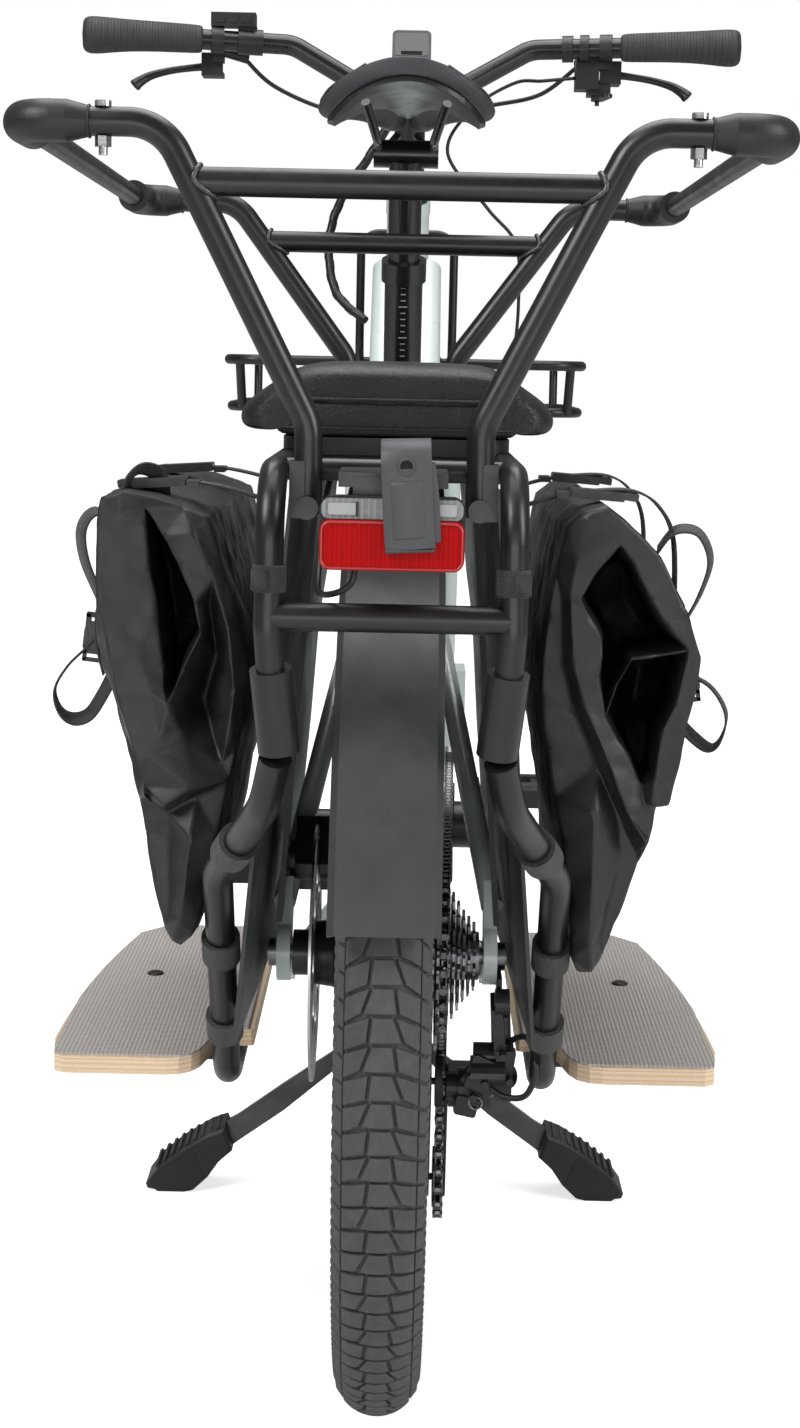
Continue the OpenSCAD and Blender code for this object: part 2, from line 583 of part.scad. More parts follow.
// ---------- kickstand
stand_y = 380;
stand_z = 150;
stand_lean = 14;
module stand_bracket() color("#1a1b1d") bike() {
  box(-39, 358, 214, 39, 420, 250);
  both() box(34, 367, 142, 39, 393, 220);
  xrod(-39.2, 39.2, stand_y, stand_z, axle_r);
}
module stand_leg() {
  translate([0, stand_y, stand_z]) rotate([90 - stand_lean, 0, 0]) translate([0, 0, -11])
    linear_extrude(22) polygon([[12, 4], [32, 2], [33, -21], [50, -36], [90, -63], [131, -92],
      [166, -112], [186, -128], [186, -136], [160, -136], [148, -128], [129, -114], [90, -87], [50, -54],
      [24, -30], [12, -22]]);
  translate([0, 370, 0]) rotate([90, 0, 0]) linear_extrude(46)
    polygon([[157, 14], [169, 1.5], [176, 0], [199, 0], [204, 4], [203, 12], [190, 24], [168, 38]]);
}
module kickstand() color("#2b2c2e") bike() difference() {
  union() {
    xrod(-33.6, 33.6, stand_y, stand_z, 12);
    both() stand_leg();
  }
  xrod(-60, 60, stand_y, stand_z, axle_r + run_gap);
}

// ---------- saddle
head_z = 883;
rail_z = head_z + 8;
module saddle_rail() {
  y = seat(head_z)[1];
  bent_tube([[31, y - 97, rail_z + 25], [22, y - 66, rail_z], [22, y + 72, rail_z],
    [9, y + 134, rail_z + 23]], 3.6, 14);
}
module stanchion() color("#0f1011") bike() {
  rod(seat(700), seat(head_z), stanchion_r);
  translate([0, seat(head_z)[1], head_z]) xrod(-26, 26, 0, 4, 11);
  both() saddle_rail();
}
arch_r = 77.5;      // the saddle's hollow underside, a cylinder along the bicycle
arch_z = saddle_z - 14 - arch_r;
module saddle_outline(grow) hull() {
  translate([0, 262]) scale([1, 0.7]) circle(r = saddle_w / 2 + grow, $fn = 48);
  translate([0, 460]) circle(r = 20 + grow, $fn = 32);
}
module saddle_shell() color("#141516") bike() intersection() {
  difference() {
    rod([0, 150, arch_z], [0, 520, arch_z], arch_r - 0.3);
    rod([0, 140, arch_z], [0, 530, arch_z], arch_r - 4);
  }
  translate([0, 0, saddle_z - 45]) linear_extrude(60) saddle_outline(-6);
}
module saddle_cover() color("#1c1d1f") bike() difference() {
  hull() {
    translate([0, 0, saddle_z - 46]) linear_extrude(12) saddle_outline(0);
    translate([0, 0, saddle_z - 14]) linear_extrude(2) saddle_outline(-10);
    translate([0, 0, saddle_z - 2]) linear_extrude(2) saddle_outline(-34);
  }
  rod([0, 150, arch_z], [0, 520, arch_z], arch_r);
  box(-90, 330, saddle_z - 60, 90, 520, saddle_z - 22);
}

// ---------- fork and bars
leg_x = 58;
module fork() color("#c3cdc6") bike() {
  rod(steer(crown_s - 20), steer(head_top_s + 34), 14.3);
  rod(steer(crown_s - 34), steer(crown_s - 11.4), 24);
  bar(steer(crown_s - 28) + [-leg_x, 0, 0], steer(crown_s - 28) + [leg_x, 0, 0], 22, 30, steer_up);
  both() bent_tube([steer(crown_s - 14) + [leg_x, 0, 0], steer(60) + [leg_x, 0, 0],
    front_axle + [leg_x, 0, 0] + 34 * steer_up], 12, 80);
  both() bar(front_axle + [leg_x, 0, 0] + 44 * steer_up, front_axle + [leg_x, 0, 0], 22, 9, [1, 0, 0]);
  both() xrod(52, 64, wheelbase, wheel_r, 15);
  xrod(-66, 66, wheelbase, wheel_r, axle_r);
}
bar_mid = [0, 1052, 1030];
module stem() color("#18191b") bike() difference() {
  union() {
    rod(steer(head_top_s + 11.4), steer(head_top_s + 40), 22);
    rod(steer(head_top_s + 20), steer(head_top_s + 150), 17);
    rod(steer(head_top_s + 132), bar_mid, 15);
    xrod(-22, 22, bar_mid[1], bar_mid[2], 21);
  }
  rod(steer(head_top_s), steer(head_top_s + 34), 14.32);
  xrod(-40, 40, bar_mid[1], bar_mid[2], 15.92);
}
module front_fender() color("#333537") bike() difference() {
  translate([0, wheelbase, wheel_r]) rotate([0, 90, 0]) rotate([0, 0, 112])
    rotate_extrude(angle = 172, $fn = 96) translate([319, 0]) square([3, 62], center = true);
  rod(steer(crown_s - 60), steer(crown_s), 24.1);
}
bar_half = [[0, 1052, 1030], [58, 1052, 1030], [134, 1048, 1072], [362, 1017.9, grip_z]];
module handlebar() color("#141517") bike() {
  difference() {
    both() bent_tube(bar_half, 11.1, 40);
    box(-30, 1000, 1000, 30, 1100, 1100);
  }
  xrod(-52, 52, bar_mid[1], bar_mid[2], 15.9);
}
grip_dir = unit(bar_half[3] - bar_half[2]);
function bar_at(d) = bar_half[2] + grip_dir * d;
grip_from = 102;
grip_to = 236;
module grips() color("#2b2c2e") bike() both() {
  pipe(bar_at(grip_from), bar_at(grip_to - 26), grip_r, 11.12);
  pipe(bar_at(grip_from - 6), bar_at(grip_from - 0.2), grip_r + 1.5, 11.12);
  difference() {
    hull() {
      rod(bar_at(grip_to - 60), bar_at(grip_to - 58), grip_r - 1);
      translate([0, -6, 0]) bar(bar_at(grip_to - 14), bar_at(grip_to), 46, 26, [0, 0, 1]);
    }
    rod(bar_at(0), bar_at(grip_to - 5), 11.12);
  }
}
lever_pivot = [226, 1076, 1051.5];
shift_pivot = [212, 1062, 1022];
module perch() difference() {
  union() {
    rod(bar_at(78), bar_at(92), 15);
    box(212, 1044, 1052, 224, 1064, 1066);
    box(214, 1056, 1038, 238, 1063, 1063);
    box(214, 1056, 1038, 238, 1086, 1043.4);
    box(214, 1056, 1057, 238, 1086, 1063);
    translate(lever_pivot - [0, 0, 12]) cylinder(r = 3, h = 22, $fn = 32);
    rod([216.5, 1071, 1067.5], [189, 1088, 1062], 6.3);
  }
  rod(bar_at(60), bar_at(110), 11.12);
}
module bar_controls() color("#131415") bike() {
  both() perch();
  translate([0, 1060, 1070]) rotate([62, 0, 0]) linear_extrude(9) rounded_rect(44, 42, 6);
  difference() {
    box(-12, 1046, 1046, 12, 1062, 1068);
    xrod(-30, 30, bar_mid[1], bar_mid[2], 21.1);
  }
  pipe(side(bar_at(34)), side(bar_at(62)), 14, 11.12);
  translate([-200, 1040, 1096]) cube([50, 22, 15], center = true);
  difference() {
    box(-195, 1034, 1078, -174, 1046, 1089.5);
    rod(side(bar_at(10)), side(bar_at(110)), 12);
  }
  pipe(bar_at(36), bar_at(48), 14.5, 11.12);
  difference() {
    union() {
      rod(bar_at(56), bar_at(66), 15);
      box(186, 1044, 1030, 212, 1074, 1064);
    }
    rod(bar_at(40), bar_at(80), 11.12);
  }
  box(200, 1050, 1024, 226, 1074, 1036);
  translate(shift_pivot - [0, 0, 8]) cylinder(r = 2.5, h = 12, $fn = 32);
}
module brake_lever() difference() {
  union() {
    hull() {
      translate(lever_pivot - [0, 0, 4.5]) cylinder(r = 6, h = 9, $fn = 32);
      translate([246, 1090, 1044]) cylinder(r = 4.5, h = 10, $fn = 32);
    }
    hull() {
      translate([246, 1090, 1043]) cylinder(r = 4.5, h = 12, $fn = 32);
      translate([317, 1092, 1018]) cylinder(r = 5, h = 12, $fn = 32);
    }
  }
  translate(lever_pivot - [0, 0, 20]) cylinder(r = 3 + run_gap, h = 40, $fn = 32);
}
module left_brake_lever() color("#121314") bike() mirror([1, 0, 0]) brake_lever();
module right_brake_lever() color("#121314") bike() brake_lever();
module shift_lever() color("#1a1b1c") bike() difference() {
  hull() {
    translate(shift_pivot - [0, 0, 3]) cylinder(r = 7, h = 4, $fn = 32);
    translate(shift_pivot + [8, -36, -3]) cylinder(r = 6, h = 4, $fn = 32);
  }
  translate(shift_pivot - [0, 0, 20]) cylinder(r = 2.5 + run_gap, h = 40, $fn = 32);
}
left_hose = [[-190, 1090, 1060], [-160, 1098, 1034], [-108, 1104, 1012], [-60, 1104, 1004],
             [-36, 1096, 994]];
right_hose = [[190, 1090, 1060], [150, 1098, 1030], [98, 1104, 1018], [40, 1106, 1010],
              [-8, 1102, 1004]];
right_cable = [[185.8, 1062, 1044], [150, 1076, 1042], [118, 1086, 1040], [70, 1092, 1010],
               [44, 1094, 961], [92, 1098, 900], [127, 1105, 859], [133, 1136, 790], [130, 1158, 728]];
loom = [[-16, 1098, 1006], [-44, 1104, 961], [-80, 1110, 905], [-92, 1105, 855], [-82, 1084, 800],
        [-40, 1052, 762]];
module control_cables() color("#0f0f10") bike() {
  swept(spline(left_hose, 3), 2.5, 8);
  swept(spline(right_hose, 3), 2.5, 8);
  swept(spline(right_cable, 3), 2, 8);
  swept(spline(loom, 3), 5.5, 10);
}

main_frame();
motor();
lower_seatpost();
seat_clamp();
rear_rack();
board_rails();
footboards();
board_grips();
frame_bolts();
rear_hoop();
front_hoop();
hoop_elbows();
side_rails();
passenger_cushion();
light_housing();
light_red_lens();
light_clear_lens();
light_cable();
tie_down_strap();
panniers();
wheel_guards();
rail_straps();
rear_fender();
front_carrier();
rear_caliper();
rear_derailleur();
chain();
rear_axle();
stand_bracket();
kickstand();
rear_tyre();
rear_rim();
rear_spokes();
rear_hub();
rear_disc();
cassette();
crankset();
left_pedal();
right_pedal();
guide_pulley();
tension_pulley();
stanchion();
saddle_shell();
saddle_cover();
fork();
stem();
front_fender();
front_caliper();
handlebar();
grips();
bar_controls();
left_brake_lever();
right_brake_lever();
shift_lever();
control_cables();
front_tyre();
front_rim();
front_spokes();
front_hub();
front_disc();
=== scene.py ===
"""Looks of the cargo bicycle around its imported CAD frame: camera, light, materials and fine pieces."""
import json
import math

import bmesh
import bpy
from mathutils import Matrix, Vector, geometry, noise


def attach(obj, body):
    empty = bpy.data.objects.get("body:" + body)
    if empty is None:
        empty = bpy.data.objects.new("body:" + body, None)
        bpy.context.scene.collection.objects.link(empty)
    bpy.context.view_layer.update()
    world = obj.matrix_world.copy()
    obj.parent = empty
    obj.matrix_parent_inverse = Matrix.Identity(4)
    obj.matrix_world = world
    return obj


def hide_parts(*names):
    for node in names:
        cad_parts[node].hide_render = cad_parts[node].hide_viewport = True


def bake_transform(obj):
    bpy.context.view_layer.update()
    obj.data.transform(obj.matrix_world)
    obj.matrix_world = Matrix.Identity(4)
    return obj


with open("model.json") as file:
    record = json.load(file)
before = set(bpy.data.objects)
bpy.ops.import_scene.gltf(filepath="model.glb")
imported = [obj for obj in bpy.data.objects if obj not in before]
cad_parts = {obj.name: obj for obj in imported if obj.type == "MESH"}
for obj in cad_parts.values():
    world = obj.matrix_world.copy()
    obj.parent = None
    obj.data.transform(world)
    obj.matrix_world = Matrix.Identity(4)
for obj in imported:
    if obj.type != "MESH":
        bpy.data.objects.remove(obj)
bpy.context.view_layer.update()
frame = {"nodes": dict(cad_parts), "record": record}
NODES = frame["nodes"]
Y_MID = 643.75          # the rear axle lies this far behind the row's origin, in millimetres
MM = 0.001


def bike(x, y, z):
    """A point in the bicycle's own millimetres, rear axle at y 0, as metres in the row frame."""
    return Vector((x * MM, (y - Y_MID) * MM, z * MM))


# ---------- camera, light and floor
def make_camera():
    data = bpy.data.cameras.new("camera")
    data.sensor_fit = "VERTICAL"
    data.sensor_height = 36
    data.lens = 54.28
    data.clip_start = 0.02
    camera = bpy.data.objects.new("camera", data)
    bpy.context.scene.collection.objects.link(camera)
    turn = (Matrix.Rotation(math.radians(0.146), 4, "Z")
            @ Matrix.Rotation(math.radians(90 - 9.29), 4, "X")
            @ Matrix.Rotation(math.radians(1.23), 4, "Z"))
    camera.matrix_world = Matrix.Translation((0.0093, -2.114, 0.722)) @ turn
    bpy.context.scene.camera = camera


def area_light(name, where, aim, size, power):
    data = bpy.data.lights.new(name, "AREA")
    data.shape = "RECTANGLE"
    data.size, data.size_y = size
    data.energy = power
    lamp = bpy.data.objects.new(name, data)
    bpy.context.scene.collection.objects.link(lamp)
    lamp.location = where
    lamp.rotation_euler = (Vector(aim) - Vector(where)).to_track_quat("-Z", "Y").to_euler()


def make_studio():
    scene = bpy.context.scene
    scene.view_settings.view_transform = "Standard"
    world = bpy.data.worlds.new("studio")
    world.use_nodes = True
    nodes, links = world.node_tree.nodes, world.node_tree.links
    seen, lit = nodes["Background"], nodes.new("ShaderNodeBackground")
    seen.inputs["Color"].default_value = (1, 1, 1, 1)
    lit.inputs["Color"].default_value = (1, 1, 1, 1)
    lit.inputs["Strength"].default_value = 0.22
    pick = nodes.new("ShaderNodeMixShader")
    links.new(nodes.new("ShaderNodeLightPath").outputs["Is Camera Ray"], pick.inputs[0])
    links.new(lit.outputs[0], pick.inputs[1])
    links.new(seen.outputs[0], pick.inputs[2])
    links.new(pick.outputs[0], nodes["World Output"].inputs["Surface"])
    scene.world = world
    area_light("key", (-1.9, -2.4, 2.6), (0, -0.3, 0.55), (1.3, 1.3), 84)
    area_light("fill", (2.2, -1.9, 1.7), (0, -0.3, 0.5), (0.9, 1.8), 52)
    area_light("top", (0, 0.1, 3.0), (0, 0, 0.5), (2.0, 2.6), 74)
    area_light("low", (0, -2.7, 0.5), (0, -0.6, 0.4), (1.8, 0.6), 12)
    mesh = bpy.data.meshes.new("floor")
    s = 9
    mesh.from_pydata([(-s, -s, -0.0005), (s, -s, -0.0005), (s, s, -0.0005), (-s, s, -0.0005)], [],
            [(0, 1, 2, 3)])
    floor = bpy.data.objects.new("floor", mesh)
    scene.collection.objects.link(floor)
    return floor


# ---------- material nodes
class Maker:
    """Builds one procedural material; textures follow the object's own rest coordinates."""

    def __init__(self, name):
        self.mat = bpy.data.materials.new(name)
        self.mat.use_nodes = True
        self.tree = self.mat.node_tree
        self.out = self.tree.nodes["Principled BSDF"]
        self.where = self.node("ShaderNodeTexCoord").outputs["Object"]
        self.normal = None

    def node(self, kind, inputs=(), **props):
        n = self.tree.nodes.new(kind)
        for k, v in props.items():
            setattr(n, k, v)
        for k, v in dict(inputs).items():
            if isinstance(v, bpy.types.NodeSocket):
                self.tree.links.new(v, n.inputs[k])
            else:
                n.inputs[k].default_value = v
        return n

    def math(self, how, a, b=0.0, c=0.0):
        return self.node("ShaderNodeMath", {0: a, 1: b, 2: c}, operation=how).outputs[0]

    def stretch(self, factors, turn=(0, 0, 0)):
        return self.node("ShaderNodeMapping", {"Vector": self.where, "Scale": factors,
                "Rotation": [math.radians(a) for a in turn]}).outputs[0]

    def noise(self, scale, detail=3.0, vector=None, rough=0.55, warp=0.0):
        return self.node("ShaderNodeTexNoise", {"Vector": vector or self.where, "Scale": scale,
                "Detail": detail,
                "Roughness": rough, "Distortion": warp}).outputs["Fac"]

    def cells(self, scale, feature="F1", vector=None, out="Distance"):
        return self.node("ShaderNodeTexVoronoi", {"Vector": vector or self.where, "Scale": scale},
                feature=feature).outputs[out]

    def waves(self, scale, axis="X", vector=None, warp=0.0, profile="SIN"):
        return self.node("ShaderNodeTexWave", {"Vector": vector or self.where, "Scale": scale,
                "Distortion": warp, "Detail": 2.0},
                bands_direction=axis, wave_profile=profile).outputs["Fac"]

    def remap(self, value, a, b, c, d):
        return self.node("ShaderNodeMapRange", {"Value": value, "From Min": a, "From Max": b,
                "To Min": c, "To Max": d}).outputs[0]

    def mix(self, fac, a, b, blend="MIX"):
        n = self.node("ShaderNodeMix", data_type="RGBA", blend_type=blend)
        for socket, v in ((n.inputs[0], fac), (n.inputs[6], a), (n.inputs[7], b)):
            if isinstance(v, bpy.types.NodeSocket):
                self.tree.links.new(v, socket)
            elif isinstance(v, (int, float)):
                socket.default_value = v
            else:
                socket.default_value = (*v[:3], 1)
        return n.outputs[2]

    def bump(self, height, depth, strength=1.0):
        n = self.node("ShaderNodeBump", {"Height": height, "Distance": depth, "Strength": strength})
        if self.normal:
            self.tree.links.new(self.normal, n.inputs["Normal"])
        self.normal = n.outputs[0]

    def upward(self):
        """0 on faces that look down or sideways, 1 on faces that look up."""
        normal = self.node("ShaderNodeTexCoord").outputs["Normal"]
        z = self.node("ShaderNodeSeparateXYZ", {0: normal}).outputs[2]
        return self.remap(z, 0.2, 1.0, 0.0, 1.0)

    def finish(self, color, rough, metal=0.0, **values):
        for k, v in (("Base Color", color), ("Roughness", rough), ("Metallic", metal), *values.items()):
            k = k.replace("_", " ")
            if isinstance(v, bpy.types.NodeSocket):
                self.tree.links.new(v, self.out.inputs[k])
            elif k in ("Base Color", "Sheen Tint", "Coat Tint", "Specular Tint", "Emission Color"):
                self.out.inputs[k].default_value = (*v[:3], 1)
            else:
                self.out.inputs[k].default_value = v
        if self.normal:
            self.tree.links.new(self.normal, self.out.inputs["Normal"])
        return self.mat


def shade(color, factor):
    return tuple(min(1, c * factor) for c in color[:3])


def moulded(name, color, rough=0.5, grain=0.00012, grain_scale=900, vary=0.12, dust=0.0, metal=0.0,
        **values):
    """Painted or moulded parts: cloudy colour, fine grain, uneven gloss and a little dust on top."""
    m = Maker(name)
    tone = m.mix(m.noise(9, 4), shade(color, 1 - vary), shade(color, 1 + vary))
    if dust:
        amount = m.math("MULTIPLY", m.upward(), m.remap(m.noise(60, 5), 0.35, 0.75, 0, dust))
        tone = m.mix(amount, tone, (0.33, 0.31, 0.28))
    smear = m.remap(m.noise(35, 5, rough=0.7), 0.3, 0.75, rough - 0.08, min(1, rough + 0.1))
    if grain:
        m.bump(m.noise(grain_scale, 3), grain)
    return m.finish(tone, smear, metal, **values)


def floor_material():
    """Pale paper floor; the camera also sees a little glow in it, so that it runs out into white."""
    m = Maker("studio_floor")
    tone = m.mix(m.noise(1.2, 2), (0.70, 0.70, 0.70), (0.73, 0.73, 0.73))
    seen = m.node("ShaderNodeLightPath").outputs["Is Camera Ray"]
    away = m.node("ShaderNodeVectorMath", {0: m.where}, operation="LENGTH").outputs["Value"]
    glow = m.remap(away, 1.5, 4.0, 0.68, 1.0)
    return m.finish(tone, 0.85, Emission_Color=(1, 1, 1), Emission_Strength=m.math("MULTIPLY", seen, glow),
                    Specular_IOR_Level=0.1)


def paint_material():
    m = Maker("frame_paint")
    flake = m.mix(m.noise(14, 4), (0.46, 0.53, 0.50), (0.53, 0.60, 0.565))
    grime = m.math("MULTIPLY", m.remap(m.noise(22, 6, rough=0.7), 0.55, 0.8, 0, 0.16), 1.0)
    tone = m.mix(grime, flake, (0.30, 0.30, 0.28))
    m.bump(m.noise(420, 2), 0.00004)
    return m.finish(tone, m.remap(m.noise(50, 4), 0.3, 0.7, 0.26, 0.38), 0.0, Coat_Weight=0.45,
                    Coat_Roughness=0.12)


def steel_material(name, color, rough, streak=(40, 40, 900), depth=0.00002):
    m = Maker(name)
    lines = m.noise(1.0, 3, m.stretch(streak))
    tone = m.mix(lines, shade(color, 0.72), color)
    oil = m.remap(m.noise(90, 5), 0.5, 0.75, 0, 0.5)
    tone = m.mix(oil, tone, shade(color, 0.3))
    m.bump(lines, depth)
    return m.finish(tone, m.remap(lines, 0.2, 0.8, rough - 0.1, rough + 0.12), 1.0)


def disc_material():
    """Turned steel: rings round the axle, with heat-tinted scratches."""
    m = Maker("disc_steel")
    part = m.node("ShaderNodeSeparateXYZ", {0: m.where})
    y = m.math("SUBTRACT", m.math("ABSOLUTE", part.outputs[1]), 0.65)
    z = m.math("SUBTRACT", part.outputs[2], 0.31)
    radius = m.math("SQRT", m.math("ADD", m.math("MULTIPLY", y, y), m.math("MULTIPLY", z, z)))
    rings = m.node("ShaderNodeTexNoise", {"W": m.math("MULTIPLY", radius, 2600), "Scale": 1.0,
            "Detail": 4.0},
                   noise_dimensions="1D").outputs["Fac"]
    tone = m.mix(rings, (0.36, 0.37, 0.38), (0.62, 0.63, 0.64))
    m.bump(rings, 0.00002)
    return m.finish(tone, m.remap(rings, 0.2, 0.8, 0.2, 0.38), 1.0)


def wood_material():
    """Board edge and underside: pressed plies seen as thin bands, with grain along the board."""
    m = Maker("board_wood")
    part = m.node("ShaderNodeSeparateXYZ", {0: m.where})
    plies = m.node("ShaderNodeTexNoise", {"W": m.math("MULTIPLY", part.outputs[2], 900), "Scale": 1.0,
            "Detail": 1.0}, noise_dimensions="1D").outputs["Fac"]
    grain = m.noise(1.0, 5, m.stretch((420, 14, 700)), warp=1.2)
    tone = m.mix(grain, (0.56, 0.40, 0.26), (0.80, 0.66, 0.48))
    tone = m.mix(m.remap(plies, 0.42, 0.6, 0, 0.6), tone, (0.40, 0.23, 0.12))
    m.bump(grain, 0.00015)
    return m.finish(tone, m.remap(grain, 0.3, 0.7, 0.45, 0.62), 0.0, Coat_Weight=0.15, Coat_Roughness=0.3)


def weave_height(m, pitch, turn=0.0):
    """Height of a plain weave whose threads lie pitch metres apart, seen from above."""
    vector = m.stretch((1, 1, 1), (0, 0, turn))
    part = m.node("ShaderNodeSeparateXYZ", {0: vector})
    k = math.pi / pitch
    a = m.math("SINE", m.math("MULTIPLY", part.outputs[0], k))
    b = m.math("SINE", m.math("MULTIPLY", part.outputs[1], k))
    return m.remap(m.math("MULTIPLY", a, b), -1, 1, 0, 1)


def board_grip_material():
    m = Maker("board_grip")
    weave = weave_height(m, 0.0021, 45)
    fleck = m.noise(1100, 2)
    tone = m.mix(weave, (0.20, 0.182, 0.170), (0.46, 0.43, 0.41))
    tone = m.mix(m.remap(fleck, 0.45, 0.7, 0, 0.5), tone, (0.52, 0.49, 0.475))
    tone = m.mix(m.remap(m.noise(12, 4), 0.4, 0.75, 0, 0.35), tone, (0.34, 0.315, 0.30))
    m.bump(weave, 0.0005)
    m.bump(fleck, 0.0002)
    return m.finish(tone, 0.86)


def vinyl_material(name, color, rough=0.5, scale=520, depth=0.0002):
    """Coated seat cloth: pebbled grain with creases, and painted shade darkening the grooves between the
    pebbles.
    """
    m = Maker(name)
    pebbles = m.cells(scale, "DISTANCE_TO_EDGE")
    creases = m.noise(26, 5, rough=0.65, warp=0.6)
    tone = m.mix(m.remap(creases, 0.35, 0.7, 0, 1), shade(color, 0.8), shade(color, 1.2))
    # painted shade: the colour is darkened along the pebbles' edges, in the grooves between them
    tone = m.mix(m.remap(pebbles, 0.0, 0.12, 0.35, 0), tone, shade(color, 0.5))
    m.bump(creases, 0.0004)
    m.bump(m.remap(pebbles, 0.0, 0.25, 0, 1), depth)
    return m.finish(tone, m.remap(creases, 0.3, 0.7, rough - 0.07, rough + 0.1), 0.0,
                    Specular_IOR_Level=0.38)


def bag_material(name="bag_fabric", color=(0.0088, 0.0092, 0.0092), rough=0.44):
    """Coated pannier cloth: very fine weave, crumple marks and rubbed, lighter creases; deep folds of the
    bag's end are painted shade, near black with little reflection.
    """
    m = Maker(name)
    fine = m.noise(1.0, 2, m.stretch((1500, 700, 1500)))
    crumple = m.noise(34, 6, rough=0.6, warp=1.0)
    tone = m.mix(m.remap(crumple, 0.3, 0.75, 0, 1), shade(color, 0.75), shade(color, 1.7))
    tone = m.mix(m.remap(fine, 0.5, 0.8, 0, 0.25), tone, shade(color, 2.4))
    # painted shade: a per-point weight from the fold depth turns the deep folds near black and lowers their
    # reflection
    fold_shade = m.node("ShaderNodeAttribute", attribute_name="fold_shade").outputs["Fac"]
    tone = m.mix(fold_shade, tone, (0.0008, 0.0009, 0.0009))
    m.bump(crumple, 0.0009)
    m.bump(fine, 0.0001)
    return m.finish(tone, m.remap(crumple, 0.3, 0.7, rough - 0.08, rough + 0.14), 0.0,
                    Specular_IOR_Level=m.remap(fold_shade, 0, 1, 0.42, 0.06))


def webbing_material(name, color, axis="Z"):
    """Woven strap: crosswise ribs and a lengthwise twill."""
    m = Maker(name)
    ribs = m.waves(330, axis)
    twill = m.waves(420, "DIAGONAL")
    tone = m.mix(ribs, shade(color, 0.6), shade(color, 1.35))
    tone = m.mix(m.math("MULTIPLY", twill, 0.4), tone, shade(color, 0.7))
    m.bump(ribs, 0.0004)
    m.bump(twill, 0.00025)
    return m.finish(tone, 0.78, 0.0, Sheen_Weight=0.15)


def tyre_material():
    m = Maker("tyre_rubber")
    cloud = m.noise(16, 5, rough=0.65)
    tone = m.mix(cloud, (0.030, 0.030, 0.029), (0.062, 0.061, 0.058))
    dust = m.remap(m.noise(140, 5, rough=0.7), 0.45, 0.8, 0, 0.25)
    tone = m.mix(dust, tone, (0.14, 0.13, 0.115))
    specks = m.remap(m.cells(900), 0.0, 0.16, 0.45, 0)
    tone = m.mix(specks, tone, (0.006, 0.006, 0.006))
    m.bump(m.noise(1500, 3), 0.0003)
    return m.finish(tone, m.remap(cloud, 0.3, 0.7, 0.6, 0.78), Specular_IOR_Level=0.4)


def lens_material(name, color, rough, cell):
    """Reflector lens: small prism cells behind a glossy face."""
    m = Maker(name)
    part = m.node("ShaderNodeSeparateXYZ", {0: m.where})
    k = 2 * math.pi / cell
    a = m.math("PINGPONG", m.math("MULTIPLY", part.outputs[0], 1 / cell), 1.0)
    b = m.math("PINGPONG", m.math("MULTIPLY", part.outputs[2], 1 / cell), 1.0)
    prism = m.math("MAXIMUM", a, b)
    tone = m.mix(m.math("SINE", m.math("MULTIPLY", part.outputs[0], k)), shade(color, 0.8),
            shade(color, 1.1))
    tone = m.mix(m.remap(prism, 0.5, 1.0, 0, 0.35), tone, shade(color, 1.25))
    m.bump(prism, 0.00003)
    return m.finish(tone, rough, 0.0, Specular_IOR_Level=0.05)


def rubber_ribs_material():
    """Handlebar grip: lock-on sleeve with fine rings along the bar."""
    m = Maker("grip_rubber")
    rings = m.waves(46, "X")
    knurl = m.cells(700)
    tone = m.mix(m.noise(20, 4), (0.014, 0.014, 0.015), (0.028, 0.028, 0.029))
    m.bump(m.remap(rings, 0.3, 0.7, 0, 1), 0.0007)
    m.bump(knurl, 0.0002)
    return m.finish(tone, m.remap(m.noise(50, 3), 0.3, 0.7, 0.6, 0.75))


EXTRA_LOOKS = {
    "lens_rim": ((0.30, 0.012, 0.012), 0.2, 0.0),
    "led_window": ((0.22, 0.225, 0.23), 0.25, 0.0),
    # painted shade: near-black colour for the strap's button hole opening
    "painted_hole_shade": ((0.003, 0.003, 0.003), 0.9, 0.0),
    "chain_plate": ((0.10, 0.10, 0.105), 0.36, 1.0),
    "weld_black": ((0.035, 0.035, 0.037), 0.34, 0.0),
    "screen_glass": ((0.012, 0.013, 0.015), 0.08, 0.0),
}


